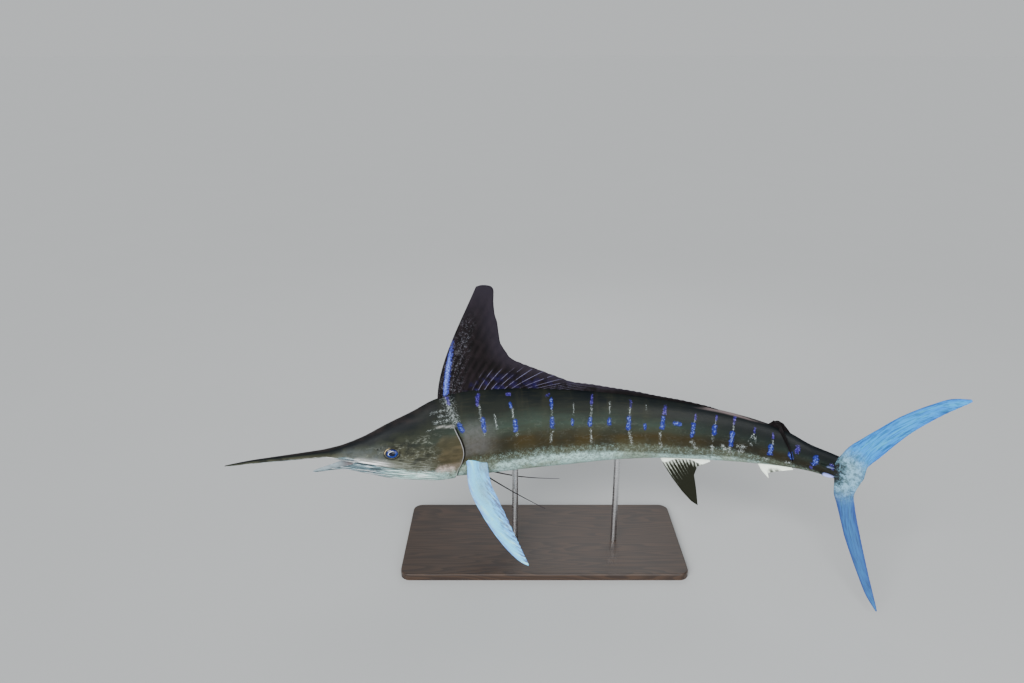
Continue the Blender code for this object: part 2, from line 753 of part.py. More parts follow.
# Small fins: where the base runs, the free edge, rows of points, thickness at the root and at the edge
SECOND_DORSAL_SPAN = (1.796, 1.880)
FIRST_ANAL_SPAN = (1.388, 1.580)
SECOND_ANAL_SPAN = (1.766, 1.895)
SMALL_FIN_THICKNESS = (0.0040, 0.0010)
FIRST_ANAL_THICKNESS = (0.0070, 0.0012)
SMALL_FIN_ROWS = 4
FIRST_ANAL_ROWS = 6
SECOND_DORSAL_EDGE = ((1.818, 0.112), (1.836, 0.118), (1.858, 0.115), (1.868, 0.100), (1.888, 0.090))
FIRST_ANAL_EDGE = ((1.410, -0.161), (1.446, -0.218), (1.483, -0.267), (1.521, -0.306), (1.548, -0.320),
                   (1.539, -0.245), (1.529, -0.185), (1.540, -0.145), (1.590, -0.112))
SECOND_ANAL_EDGE = ((1.790, -0.105), (1.818, -0.130), (1.812, -0.108), (1.836, -0.096), (1.872, -0.080),
                    (1.905, -0.066))

# Soft rear lobe of the second dorsal fin, bent over the near flank: middle line and half width
FOLDED_LOBE = ((1.814, 0.0003, 0.1035), (1.825, 0.0030, 0.1130), (1.839, 0.0130, 0.1140),
               (1.855, 0.0240, 0.0980), (1.872, 0.0310, 0.0740), (1.890, 0.0350, 0.0460),
               (1.905, 0.0355, 0.0160), (1.912, 0.0340, -0.0150))
FOLDED_WIDTH = (0.008, 0.002)
FOLDED_HALF_THICKNESS = 0.0010


def folded_lobe(group):
    """Strip that bends from the second dorsal fin over the flank and tapers to a point."""
    line = np.asarray(FOLDED_LOBE)
    share = np.linspace(0.0, 1.0, len(line))
    tangent = np.gradient(line, axis=0)
    tangent /= np.linalg.norm(tangent, axis=1, keepdims=True)
    across = np.array((1.0, 0.0, 0.0)) - tangent * tangent[:, :1]
    across /= np.linalg.norm(across, axis=1, keepdims=True)
    outward = np.cross(tangent, across)
    width = FOLDED_WIDTH[0] + (FOLDED_WIDTH[1] - FOLDED_WIDTH[0]) * share
    steps = np.array((-1.0, 0.0, 1.0))
    middle = line[:, None] + across[:, None] * (width[:, None] * steps)[..., None]
    lift = outward[:, None] * FOLDED_HALF_THICKNESS
    return sheet("folded_lobe", swim(middle + lift), swim(middle - lift), group)


# Tail lobes: outline from the stalk to the tip, leading edge and trailing edge
UPPER_LEAD = ((2.0603, 0.0440), (2.084, 0.097), (2.114, 0.143), (2.148, 0.197), (2.203, 0.275),
              (2.275, 0.354), (2.331, 0.403), (2.381, 0.424))
UPPER_TRAIL = ((2.0603, 0.0002), (2.120, 0.0002), (2.157, 0.0002), (2.156, 0.040), (2.188, 0.110),
               (2.245, 0.225), (2.315, 0.330), (2.386, 0.417))
LOWER_LEAD = ((2.0603, -0.0440), (2.068, -0.100), (2.088, -0.140), (2.116, -0.192), (2.170, -0.282),
              (2.232, -0.375), (2.285, -0.447), (2.332, -0.489))
LOWER_TRAIL = ((2.0603, -0.0002), (2.120, -0.0002), (2.157, -0.0002), (2.142, -0.074), (2.158, -0.125),
               (2.205, -0.228), (2.268, -0.355), (2.336, -0.485))
LOBE_ROWS = 15
LOBE_COLUMNS = 9
LOBE_EDGE_SECTION = 0.30
LOBE_REAR_SECTION = 0.16
LOBE_ROOT_EDGE = 0.35
LOBE_ROOT_SHARE = 0.25
LOBE_FULLNESS = 1.15
LOBE_ROUNDNESS = 0.7
LOBE_THICKNESS = np.array(((0.0, 0.034), (0.12, 0.018), (0.3, 0.010), (0.7, 0.006), (1.0, 0.002)))


def tail_lobe(name, lead, trail, group):
    """Tail lobe: a tapering blade between its leading and its trailing edge."""
    shares = np.linspace(0.0, 1.0, LOBE_ROWS)
    steps = np.linspace(0.0, 1.0, len(lead))
    lead_table = np.asarray(lead)
    trail_table = np.asarray(trail)
    front = np.stack([smooth(shares, np.stack((steps, lead_table[:, i]), axis=-1)) for i in (0, 1)], axis=-1)
    rear = np.stack([smooth(shares, np.stack((steps, trail_table[:, i]), axis=-1)) for i in (0, 1)], axis=-1)
    chord = np.linspace(0.0, 1.0, LOBE_COLUMNS)
    flat = front[:, None] + (rear - front)[:, None] * chord[None, :, None]
    points = np.stack((flat[..., 0], np.zeros(flat.shape[:2]), flat[..., 1]), axis=-1)
    round_part = np.sin(np.clip(chord * LOBE_FULLNESS, 0.0, 1.0) * math.pi) ** LOBE_ROUNDNESS
    section = LOBE_EDGE_SECTION + (1 - LOBE_EDGE_SECTION) * round_part
    section[-1] = LOBE_REAR_SECTION
    blend = ease(shares / LOBE_ROOT_SHARE)[:, None]
    root_section = np.where(chord < 0.05, LOBE_ROOT_EDGE, 1.0)
    half = smooth(shares, LOBE_THICKNESS)[:, None] / 2 * (blend * section + (1 - blend) * root_section)
    half = rayed(2 * half, shares[:, None]) / 2
    near = points + half[..., None] * np.array((0.0, 1.0, 0.0))
    far = points - half[..., None] * np.array((0.0, 1.0, 0.0))
    return sheet(name, swim(near), swim(far), group)


# Pectoral fin: share of the span, leading and trailing offsets from the middle line of the chord
PECTORAL_SPAN = 0.465
PECTORAL_OUTLINE = np.array((
    (0.00, -0.044, 0.040),
    (0.08, -0.066, 0.031),
    (0.18, -0.084, 0.012),
    (0.30, -0.091, 0.001),
    (0.43, -0.092, -0.003),
    (0.58, -0.088, -0.008),
    (0.70, -0.080, -0.011),
    (0.85, -0.061, -0.014),
    (0.94, -0.042, -0.015),
    (1.00, -0.021, -0.015),
))
PECTORAL_ROOT = (0.634, 0.64)
PECTORAL_SUNK = 0.010
PECTORAL_ROWS = 13
PECTORAL_COLUMNS = 9
PECTORAL_EDGE_SECTION = 0.30
PECTORAL_LEFT = (0.42, 0.40, -0.82)
PECTORAL_RIGHT = (0.62, -0.76, -0.14)
PECTORAL_THICKNESS = np.array(((0.0, 0.016), (0.2, 0.010), (0.6, 0.005), (1.0, 0.0014)))


def pectoral_points(side, direction, spread, share):
    """Near and far grids of a pectoral fin from its root inside the shoulder to its tip."""
    root, normal = on_flank(*PECTORAL_ROOT, side, -PECTORAL_SUNK)
    span = np.array(direction) / np.linalg.norm(direction)
    chord = np.array((1.0, 0.0, 0.0)) - span * span[0]
    chord /= np.linalg.norm(chord)
    across = np.cross(span, chord)
    front = smooth(share, PECTORAL_OUTLINE[:, (0, 1)]) - spread
    rear = smooth(share, PECTORAL_OUTLINE[:, (0, 2)]) + spread
    steps = np.linspace(0.0, 1.0, PECTORAL_COLUMNS)
    offset = front[:, None] + (rear - front)[:, None] * steps
    section = np.where((steps == 0) | (steps == 1), PECTORAL_EDGE_SECTION, 1.0)
    half = smooth(share, PECTORAL_THICKNESS)[:, None] / 2 * section
    half = rayed(2 * half, np.clip(share, 0.0, 1.0)[:, None]) / 2 + spread
    middle = root + span * (share * PECTORAL_SPAN)[:, None, None] + chord * offset[..., None]
    return middle + across * half[..., None], middle - across * half[..., None]


def make_pectoral(side, direction, name, group):
    """Pectoral fin, its root set in a socket in the shoulder."""
    near, far = pectoral_points(side, direction, 0.0, np.linspace(0.0, 1.0, PECTORAL_ROWS))
    return sheet(name, near, far, group)


def pectoral_cutter(side, direction, group):
    """Socket of a pectoral fin."""
    share = np.linspace(0.0, 1.0, PECTORAL_ROWS)[:3]
    share[0] = -GAP / PECTORAL_SPAN
    near, far = pectoral_points(side, direction, GAP, share)
    return sheet("pectoral_cutter", near, far, group)


# Pelvic fins: root on the belly, end point, radius at the root and at the tip
PELVIC_ROOT_AT = 0.655
PELVIC_LEVEL = 0.93
PELVIC_REACH = {1: (0.264, 0.012, -0.195), -1: (0.331, 0.020, -0.094)}
PELVIC_SAG = {1: 0.008, -1: 0.018}
PELVIC_RADII = (0.0035, 0.0008)
PELVIC_SUNK = 0.006
PELVIC_ROWS = 9
PELVIC_SECTION = (1.5, 0.8)


def pelvic_rings(side, spread, share):
    """Rings of a thin pelvic fin along its slightly curved line."""
    root, _ = on_flank(PELVIC_ROOT_AT, PELVIC_LEVEL, side, -PELVIC_SUNK)
    reach = np.array(PELVIC_REACH[side]) * np.array((1.0, side, 1.0))
    line = root + reach * share[:, None]
    line[:, 2] -= PELVIC_SAG[side] * np.sin(np.clip(share, 0.0, 1.0) * math.pi)
    along = reach / np.linalg.norm(reach)
    across = np.cross(along, (0.0, 0.0, 1.0))
    across /= np.linalg.norm(across)
    up = np.cross(across, along)
    radius = PELVIC_RADII[0] + (PELVIC_RADII[1] - PELVIC_RADII[0]) * share + spread
    angles = np.linspace(0.0, 2 * math.pi, 9)[:-1]
    wide, high = PELVIC_SECTION
    circle = np.cos(angles)[:, None] * across * wide + np.sin(angles)[:, None] * up * high
    return line[:, None] + circle[None] * radius[:, None, None]


# Keels, two on each side of the tail stalk: distance aft, level, half sizes along, across and outward
KEELS = ((2.034, 0.445), (2.034, 0.711))
KEEL_SIZE = (0.025, 0.0035, 0.013)


def make_stalk(group, cutters):
    """Tail stalk with its keels."""
    stalk = make_trunk("tail_stalk", STALK_STATIONS, 1, 1, group)
    keels = [ellipsoid("keel", at, level, side, KEEL_SIZE, 0.0, cutters, 12, 6)
             for at, level in KEELS for side in (1, -1)]
    return combine(stalk, keels, "UNION")


def make_base(group):
    """Flat base plate with round corners and softened edges."""
    bpy.ops.mesh.primitive_cube_add(size=1.0, location=(0.0, 0.0, BASE_HEIGHT / 2))
    base = bpy.context.object
    base.name = "stand_base"
    base.scale = (BASE_LENGTH, BASE_WIDTH, BASE_HEIGHT)
    bpy.ops.object.transform_apply(location=False, rotation=False, scale=True)
    shell = bmesh.new()
    shell.from_mesh(base.data)
    upright = [edge for edge in shell.edges if abs(edge.verts[0].co.z - edge.verts[1].co.z) > BASE_HEIGHT / 2]
    bmesh.ops.bevel(shell, geom=upright, offset=BASE_CORNER, segments=6, affect="EDGES", profile=0.5)
    top = [edge for edge in shell.edges if min(vertex.co.z for vertex in edge.verts) > 0
           and len(edge.link_faces) == 2 and edge.calc_face_angle() > 1.0]
    bmesh.ops.bevel(shell, geom=top, offset=BASE_EDGE, segments=2, affect="EDGES", profile=0.5)
    shell.to_mesh(base.data)
    shell.free()
    move_to(base, group)
    return base


def belly_point(station):
    """World point on the middle of the belly."""
    return swim((station, 0.0, float(smooth(station, BODY[:, (0, 2)]))))


def cylinder(name, x, y, low, high, radius, group):
    """Upright round bar."""
    bpy.ops.mesh.primitive_cylinder_add(vertices=ROD_SIDES, radius=radius, depth=high - low,
                                        location=(x, y, (low + high) / 2))
    bar = bpy.context.object
    bar.name = name
    move_to(bar, group)
    return bar


def main():
    """Build the fish and its stand."""
    clear_scene()
    fish = new_collection("striped_marlin")
    cutters = new_collection("cutters")
    skin = new_material("skin", (0.05, 0.055, 0.045), 0.38)
    pale = new_material("pale_skin", (0.55, 0.56, 0.55), 0.35)
    horn = new_material("bill", (0.035, 0.025, 0.02), 0.4)
    eye = new_material("eye", (0.01, 0.03, 0.16), 0.08)
    gill = new_material("gill_cover", (0.11, 0.075, 0.04), 0.35)
    dark_fin = new_material("dark_fin", (0.02, 0.012, 0.02), 0.45)
    pale_fin = new_material("pale_fin", (0.55, 0.68, 0.85), 0.4)
    board = new_material("base", (0.03, 0.03, 0.032), 0.5)
    steel = new_material("rod", (0.6, 0.6, 0.6), 0.3, 1.0)

    finished = [
        (make_bill(fish), horn),
        (make_head(fish, cutters), skin),
        (make_lower_jaw(fish), pale),
        (make_gill_cover(1, "gill_cover_left", fish), gill),
        (make_gill_cover(-1, "gill_cover_right", fish), gill),
        (make_trunk("trunk_rear", TRUNK_REAR_STATIONS, 1, 1, fish), skin),
        (make_stalk(fish, cutters), skin),
    ]
    for side, name in ((1, "eye_left"), (-1, "eye_right")):
        ball = ellipsoid(name, EYE_AT, EYE_LEVEL, side, (EYE_LONG, EYE_TALL, EYE_DEEP), -EYE_SUNK, fish)
        finished.append((ball, eye))

    front = make_trunk("trunk_front", TRUNK_FRONT_STATIONS, 1, 1, fish)
    root = np.array((-GAP / PECTORAL_SPAN, 0.05, 0.1))
    room = [cover_cutter(side, cutters) for side in (1, -1)]
    for side, way, direction in ((1, "left", PECTORAL_LEFT), (-1, "right", PECTORAL_RIGHT)):
        finished.append((make_pectoral(side, direction, "pectoral_fin_" + way, fish), pale_fin))
        room.append(pectoral_cutter(side, direction, cutters))
        rings = pelvic_rings(side, 0.0, np.linspace(0.0, 1.0, PELVIC_ROWS))
        finished.append((loft("pelvic_fin_" + way, rings, fish), dark_fin))
        room.append(loft("pelvic_cutter", pelvic_rings(side, GAP, root), cutters))
    combine(front, room, "DIFFERENCE")
    finished.append((front, skin))
    for item, _ in finished:
        carry(item)

    finished += [
        (make_crest(fish), dark_fin),
        (make_dorsal_rear(fish), dark_fin),
        (simple_fin("dorsal_fin_second", SECOND_DORSAL_SPAN, SECOND_DORSAL_EDGE, SMALL_FIN_ROWS,
                    SMALL_FIN_THICKNESS, 1, fish), dark_fin),
        (simple_fin("anal_fin_first", FIRST_ANAL_SPAN, FIRST_ANAL_EDGE, FIRST_ANAL_ROWS,
                    FIRST_ANAL_THICKNESS, -1, fish), dark_fin),
        (simple_fin("anal_fin_second", SECOND_ANAL_SPAN, SECOND_ANAL_EDGE, SMALL_FIN_ROWS,
                    SMALL_FIN_THICKNESS, -1, fish), pale_fin),
        (tail_lobe("caudal_lobe_upper", UPPER_LEAD, UPPER_TRAIL, fish), pale_fin),
        (tail_lobe("caudal_lobe_lower", LOWER_LEAD, LOWER_TRAIL, fish), pale_fin),
        (make_base(fish), board),
    ]
    by_name = {item.name: item for item, _ in finished}
    combine(by_name["dorsal_fin_second"], [folded_lobe(cutters)], "UNION")
    for station, name, node in zip(ROD_STATIONS, ("stand_rod_front", "stand_rod_rear"),
                                   ("trunk_front", "trunk_rear")):
        x, y, belly = belly_point(station)
        top = belly + ROD_SUNK
        socket = cylinder("rod_cutter", x, y, belly - SOCKET_DEPTH, top + GAP, ROD_RADIUS + GAP, cutters)
        combine(by_name[node], [socket], "DIFFERENCE")
        finished.append((cylinder(name, x, y, BASE_HEIGHT + GAP, top, ROD_RADIUS, fish), steel))
    for item, material in finished:
        item.data.materials.clear()
        item.data.materials.append(material)
        item.data.shade_smooth()
        item.data.set_sharp_from_angle(angle=math.radians(40.0))


main()
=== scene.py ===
"""Striped marlin on a display stand: finished surfaces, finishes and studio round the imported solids.

The fish is worked out straight first: x runs aft from the tip of the lower jaw, y to the fish's left and
z towards its back. Every point is then carried onto the curved line on which the fish swims. A place on
the body is given by x and a level, 0 on the middle of the back and 1 on the middle of the belly.
"""
import math

import bmesh
import bpy
import numpy as np
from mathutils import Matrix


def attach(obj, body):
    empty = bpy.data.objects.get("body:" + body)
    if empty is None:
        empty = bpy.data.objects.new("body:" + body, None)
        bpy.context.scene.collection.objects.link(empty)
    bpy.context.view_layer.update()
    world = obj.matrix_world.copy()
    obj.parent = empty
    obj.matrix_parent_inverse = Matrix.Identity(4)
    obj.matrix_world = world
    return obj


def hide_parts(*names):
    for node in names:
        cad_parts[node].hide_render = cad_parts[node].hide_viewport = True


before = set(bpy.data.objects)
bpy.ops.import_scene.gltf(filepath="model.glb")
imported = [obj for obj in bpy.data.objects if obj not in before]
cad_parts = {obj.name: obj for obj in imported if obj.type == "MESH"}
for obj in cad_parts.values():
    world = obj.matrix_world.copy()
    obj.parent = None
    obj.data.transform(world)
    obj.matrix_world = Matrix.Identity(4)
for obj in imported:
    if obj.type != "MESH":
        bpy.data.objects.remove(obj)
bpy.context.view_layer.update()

bl_info = {
    "name": "Striped Marlin Model",
    "version": (1, 0, 0),
    "blender": (4, 5, 0),
    "location": "3D View > Sidebar > Marlin",
    "description": "Builds the finished surfaces of a striped marlin display model",
    "category": "Object",
}

# The straight body: distance aft, back, belly, half width
FORK_LENGTH = 2.15
MIDDLE = 0.5 * FORK_LENGTH
BODY = np.array((
    (0.00, 0.0250, -0.0620, 0.0160),
    (0.10, 0.0320, -0.0635, 0.0260),
    (0.20, 0.0560, -0.0970, 0.0440),
    (0.30, 0.0960, -0.1360, 0.0600),
    (0.40, 0.1340, -0.1600, 0.0720),
    (0.50, 0.1750, -0.1770, 0.0800),
    (0.62, 0.1930, -0.1750, 0.0870),
    (0.80, 0.1840, -0.1720, 0.0900),
    (1.00, 0.1650, -0.1640, 0.0860),
    (1.20, 0.1460, -0.1430, 0.0780),
    (1.40, 0.1290, -0.1210, 0.0660),
    (1.60, 0.1150, -0.1000, 0.0520),
    (1.75, 0.1020, -0.0790, 0.0400),
    (1.87, 0.0820, -0.0610, 0.0310),
    (1.97, 0.0520, -0.0500, 0.0240),
    (2.06, 0.0450, -0.0450, 0.0185),
))
RIDGE = np.array(((0.00, 2.0), (0.25, 2.0), (0.50, 1.6), (0.65, 1.6), (0.90, 1.8), (2.06, 2.0)))
BELLY_ROUNDNESS = 2.1
WIDEST_LEVEL = 0.45

# Turn of the body line and its droop at the tail
TURN_AT = FORK_LENGTH * np.array((0.20, 0.30, 0.40, 0.50, 0.60, 0.70, 0.80, 0.90, 1.00))
TURN_DEGREES = np.array((-13.7, -10.7, -4.7, 2.8, 12.3, 22.3, 31.8, 39.3, 43.8))
NOSE_DOWN = math.radians(2.5)
TAIL_DROOP = math.radians(9.0)
DROOP_FROM = 0.90 * FORK_LENGTH
AXIS_HEIGHT = 0.55
AXIS_SHIFT = 0.15

# Bill: distance aft, top, underside, half width
BILL_TIP = -0.315
BILL = np.array((
    (BILL_TIP, 0.0212, 0.0172, 0.0020),
    (-0.290, 0.0235, 0.0160, 0.0038),
    (-0.200, 0.0275, 0.0125, 0.0080),
    (-0.080, 0.0268, 0.0045, 0.0125),
    (0.040, 0.0265, -0.0030, 0.0180),
    (0.150, 0.0400, -0.0250, 0.0340),
))
BILL_BLEND = (0.04, 0.14)
BILL_RIM_ANGLE = math.radians(120.0)
BILL_TIP_LENGTH = 0.006
MOUTH = np.array((
    (0.00, -0.0020),
    (0.12, -0.0185),
    (0.16, -0.0280),
    (0.20, -0.0380),
    (0.25, -0.0520),
    (0.30, -0.0700),
    (0.335, -0.0800),
))
MOUTH_CORNER = 0.335
MOUTH_GAPE = 0.054
GAPE_END = 0.160
GAPE_POWER = 0.62
LIP_BAND = 0.16
LIP_FULL_AT = 0.15
PALATE_RISE = 0.004
JAW_TROUGH = 0.006
JAW_TIP_WIDTH = 0.35
JAW_TIP_WIDENS = (-0.01, 0.04)
JAW_TIP_LENGTH = 0.012
TROUGH_ENDS_FROM = 0.09
LIP_FADES_FROM = 0.25

# Gill cover: level, front edge, rear edge
COVER = np.array((
    (0.33, 0.512, 0.556),
    (0.38, 0.482, 0.566),
    (0.45, 0.462, 0.579),
    (0.54, 0.458, 0.585),
    (0.62, 0.462, 0.576),
    (0.72, 0.450, 0.558),
    (0.86, 0.420, 0.550),
    (0.995, 0.400, 0.545),
))
EDGE_ROW = 0.560
EDGE_REACH = 0.11
# Skin across the free edge of the gill cover: distance behind the edge, height as a share of the step
EDGE_PROFILE = np.array((
    (-0.060, 0.0), (-0.020, 0.02), (-0.0030, 0.04), (0.0000, -0.13), (0.0010, -0.83),
    (0.0030, -1.0), (0.0070, -0.83), (0.0200, -0.73), (0.0500, -0.44), (0.0900, 0.0),
))

COVER_CREASE = 0.0011
COVER_FOLD = 0.0016
MOUTH_CREASE = 0.0045

EYE_AT = 0.306
EYE_LEVEL = 0.425
EYE_SIZE = (0.031, 0.024)
EYE_SUNK = 0.010
EYE_SEEN = (0.0242, 0.0188)
# Lids round the eye: share of the seen eye's radius, height above the flank as a share of the lids' height
LID_PROFILE = np.array((
    (0.90, 0.22), (0.97, 0.44), (1.03, 0.96), (1.12, 1.0), (1.22, 0.37), (1.32, 0.55), (1.45, 0.11), (1.60, -0.44),
))
LID_DEPTH = 0.004
NOSTRIL_DEPTH = 0.0030
NOSTRIL_RIM = 0.0008
NOSTRILS = ((0.254, 0.355, 0.0036), (0.266, 0.350, 0.0028))

# Upper edge of the silver of jaw, throat and belly: distance aft, height
SILVER = np.array((
    (-0.315, 0.0185), (-0.20, 0.0160), (-0.08, 0.0100), (0.00, 0.0035), (0.06, -0.0030), (0.128, -0.0035),
    (0.168, -0.0139), (0.226, -0.0356), (0.278, -0.0557), (0.330, -0.0739), (0.383, -0.0916),
    (0.425, -0.0990), (0.468, -0.1040), (0.508, -0.1090), (0.536, -0.1114), (0.590, -0.0802),
    (0.627, -0.0659), (0.693, -0.0650), (0.814, -0.0557), (0.919, -0.0505), (1.024, -0.0505),
    (1.108, -0.0476), (1.234, -0.0421), (1.358, -0.0395), (1.479, -0.0389), (1.559, -0.0334),
    (1.675, -0.0228), (1.789, -0.0261), (1.900, -0.0328), (1.992, -0.0352), (2.047, -0.0440),
))

# Strokes of the broken bars, in millimetres: both ends (distance aft, height) and half width
VIOLET_STROKES = np.array((
    (542, 178, 545, 160, 7), (664, 180, 656, 149, 7.9), (779, 171, 791, 170, 5.5), (935, 156, 947, 156, 5.5),
    (1120, 147, 1117, 119, 5.5), (1274, 127, 1274, 108, 5.5), (1410, 112, 1411, 92, 7),
    (1532, 95, 1533, 79, 4.5), (1612, 99, 1613, 86, 4.5), (1680, 103, 1682, 81, 4.5), (1759, 79, 1761, 65, 4.5),
    (1829, 73, 1831, 56, 4.5), (1923, 42, 1922, 26, 10), (1976, -22, 1978, -26, 6), (2046, 10, 2052, 2, 7.5),
)) / 1000
BLUE_STROKES = np.array((
    (576, 82, 584, 59, 9.5), (672, 92, 673, 50, 9.5), (787, 141, 789, 129, 6), (801, 76, 800, 41, 9.5),
    (954, 143, 954, 113, 6.5), (955, 76, 952, 45, 9.5), (1036, 64, 1036, 49, 7), (1111, 66, 1109, 44, 8),
    (1189, 65, 1188, 46, 8), (1270, 69, 1267, 30, 9.5), (1336, 45, 1336, 31, 6), (1405, 52, 1405, 36, 9),
    (1407, 75, 1408, 64, 7.5), (1453, 59, 1477, 57, 8), (1529, 59, 1528, 31, 9), (1524, 27, 1523, 17, 7.5),
    (1610, 60, 1611, 38, 9.5), (1679, 48, 1678, -1, 8.5), (1828, 24, 1827, -4, 10.5), (1899, 12, 1907, -6, 8),
    (1990, 17, 1987, -3, 11), (2033, -35, 2050, -34, 7),
)) / 1000
WHITE_STROKES = np.array((
    (538, 172, 548, 136, 24), (548, 136, 562, 98, 22), (662, 146, 664, 92, 6.2), (673, 46, 671, 36, 7),
    (793, 125, 795, 88, 6), (804, 35, 803, 16, 6), (955, 113, 953, 77, 4.5), (957, 29, 956, 21, 4),
    (948, 13, 945, -19, 7), (1043, 122, 1044, 108, 4.2), (1043, 98, 1042, 83, 4.2), (1117, 119, 1114, 66, 5),
    (1112, 23, 1115, -34, 6), (1191, 125, 1190, 87, 4.2), (1272, 108, 1271, 69, 5), (1272, 14, 1282, -38, 8),
    (1335, 116, 1339, 92, 3.5), (1399, 19, 1399, -10, 6), (1399, -28, 1402, -43, 8), (1530, 77, 1530, 59, 5),
    (1526, -10, 1541, -36, 10), (1612, 86, 1612, 61, 4.2), (1606, 35, 1607, 9, 5), (1604, -17, 1606, -35, 8),
    (1681, 81, 1681, 48, 5), (1674, -6, 1672, -33, 9), (1646, -6, 1656, -22, 10), (1705, -2, 1728, 2, 11),
    (1706, -24, 1725, -20, 8), (1831, 45, 1832, 34, 4.5), (1808, -32, 1815, -31, 8), (1886, -30, 1899, -27, 8),
    (720, 105, 724, 55, 6), (469, 130, 500, 138, 5), (505, 136, 546, 142, 6), (500, 119, 535, 121, 7),
    (441, 66, 470, 79, 3.4), (474, 76, 520, 84, 4), (522, 78, 556, 74, 4), (480, 98, 545, 105, 9),
    *((1743 + 6.2 * i, 26 + 4 * (i % 2), 1747 + 6.2 * i, 46 + 6 * (i % 3), 2.2) for i in range(5)),
    *((1746 + 7 * i, 12, 1746 + 7 * i, 21, 2.4) for i in range(3)),
)) / 1000

# First dorsal fin: base, then the place on the outline that the ray from there reaches
DORSAL_EDGE = np.array((
    (0.505, 0.684, 0.612), (0.513, 0.704, 0.616), (0.522, 0.724, 0.614), (0.532, 0.742, 0.607),
    (0.541, 0.750, 0.590), (0.556, 0.747, 0.540), (0.571, 0.749, 0.500), (0.588, 0.757, 0.465),
    (0.605, 0.760, 0.430), (0.625, 0.764, 0.386), (0.655, 0.782, 0.347), (0.685, 0.802, 0.314),
    (0.713, 0.838, 0.291), (0.748, 0.870, 0.275), (0.790, 0.925, 0.249), (0.820, 0.971, 0.228),
    (0.880, 1.045, 0.197), (0.950, 1.115, 0.186), (1.030, 1.195, 0.172), (1.130, 1.285, 0.159),
    (1.240, 1.380, 0.1445), (1.360, 1.472, 0.1355), (1.500, 1.585, 0.1215), (1.600, 1.614, 0.1150),
))
# How far each ray bows forward of a straight line, by its base
DORSAL_BOW = np.array(((0.505, 0.0255), (0.60, 0.013), (0.66, 0.008), (0.75, 0.0066), (0.90, 0.003),
                       (1.60, 0.0005)))
DORSAL_SPAN = (0.505, 1.60)
DORSAL_RAYS = 40
DORSAL_RAY_RELIEF = 0.0016
DORSAL_SCALLOP = 0.0016
ROOT_SUNK = 0.006
SECOND_DORSAL_SPAN = (1.796, 1.880)
SECOND_DORSAL_EDGES = (((1.796, 0.0915), (1.818, 0.112), (1.836, 0.118)),
                       ((1.836, 0.118), (1.856, 0.111), (1.870, 0.096), (1.884, 0.080)))
FIRST_ANAL_SPAN = (1.388, 1.580)
FIRST_ANAL_EDGES = (((1.388, -0.1165), (1.410, -0.161), (1.446, -0.218), (1.483, -0.267), (1.521, -0.306),
                     (1.548, -0.320)),
                    ((1.548, -0.320), (1.539, -0.245), (1.529, -0.185), (1.540, -0.145), (1.590, -0.112)))
SECOND_ANAL_SPAN = (1.766, 1.895)
SECOND_ANAL_EDGES = (((1.766, -0.070), (1.790, -0.105), (1.818, -0.130)),
                     ((1.818, -0.130), (1.812, -0.108), (1.836, -0.096), (1.872, -0.080), (1.905, -0.066)))
# Rear lobe of the second dorsal fin, led down the flank where the fin's shadow falls: partly fin, partly painted
# shadow
LOBE_AND_SHADOW_PATH = ((1.814, 0.0003, 0.1035), (1.825, 0.0030, 0.1130), (1.839, 0.0130, 0.1140),
               (1.855, 0.0240, 0.0980), (1.872, 0.0310, 0.0740), (1.890, 0.0350, 0.0460),
               (1.905, 0.0355, 0.0160), (1.912, 0.0340, -0.0150))

# Tail lobes: leading and trailing edge from the stalk to the tip
UPPER_LEAD = ((2.0603, 0.0440), (2.084, 0.097), (2.114, 0.143), (2.148, 0.197), (2.203, 0.275),
              (2.275, 0.354), (2.331, 0.403), (2.381, 0.424))
UPPER_TRAIL = ((2.0603, 0.0002), (2.120, 0.0002), (2.157, 0.0002), (2.156, 0.040), (2.188, 0.110),
               (2.245, 0.225), (2.315, 0.330), (2.386, 0.417))
LOWER_LEAD = ((2.0603, -0.0440), (2.068, -0.100), (2.088, -0.140), (2.116, -0.192), (2.170, -0.282),
              (2.232, -0.375), (2.285, -0.447), (2.332, -0.489))
LOWER_TRAIL = ((2.0603, -0.0002), (2.120, -0.0002), (2.157, -0.0002), (2.142, -0.074), (2.158, -0.125),
               (2.205, -0.228), (2.268, -0.355), (2.336, -0.485))
STALK_END_HALF = 0.0186
RAY_STEP = 0.0055
LOBE_NOTCH = 0.0012
LOBE_SUNK = 0.014
LOBE_OVERLAP = 0.0012
PECTORAL_NOTCH = 0.0022
LOBE_THICKNESS = np.array(((0.0, 0.030), (0.12, 0.017), (0.3, 0.010), (0.7, 0.006), (1.0, 0.0020)))

PECTORAL_SPAN = 0.465
PECTORAL_OUTLINE = np.array((
    (0.00, -0.044, 0.040), (0.08, -0.066, 0.031), (0.18, -0.084, 0.012), (0.30, -0.091, 0.001),
    (0.43, -0.092, -0.003), (0.58, -0.088, -0.008), (0.70, -0.080, -0.011), (0.85, -0.061, -0.014),
    (0.94, -0.042, -0.015), (1.00, -0.021, -0.015),
))
PECTORAL_ROOT = (0.634, 0.64)
PECTORAL_SUNK = 0.010
PECTORAL_WAYS = {1: (0.42, 0.40, -0.82), -1: (0.62, -0.76, -0.14)}
PECTORAL_THICKNESS = np.array(((0.0, 0.016), (0.2, 0.010), (0.6, 0.005), (1.0, 0.0014)))

PELVIC_ROOT = (0.655, 0.93)
PELVIC_REACH = {1: (0.264, 0.012, -0.195), -1: (0.331, 0.020, -0.094)}
PELVIC_SAG = {1: 0.008, -1: 0.018}
PELVIC_RADII = (0.0035, 0.0008)
PELVIC_SUNK = 0.006

# Keels of the tail stalk: place, level, how pale, half height
KEELS = ((2.034, 0.445, 0.30, 0.0036), (2.036, 0.711, 1.0, 0.0056))
KEEL_HALF_LENGTH = 0.027
KEEL_SUNK = 0.001

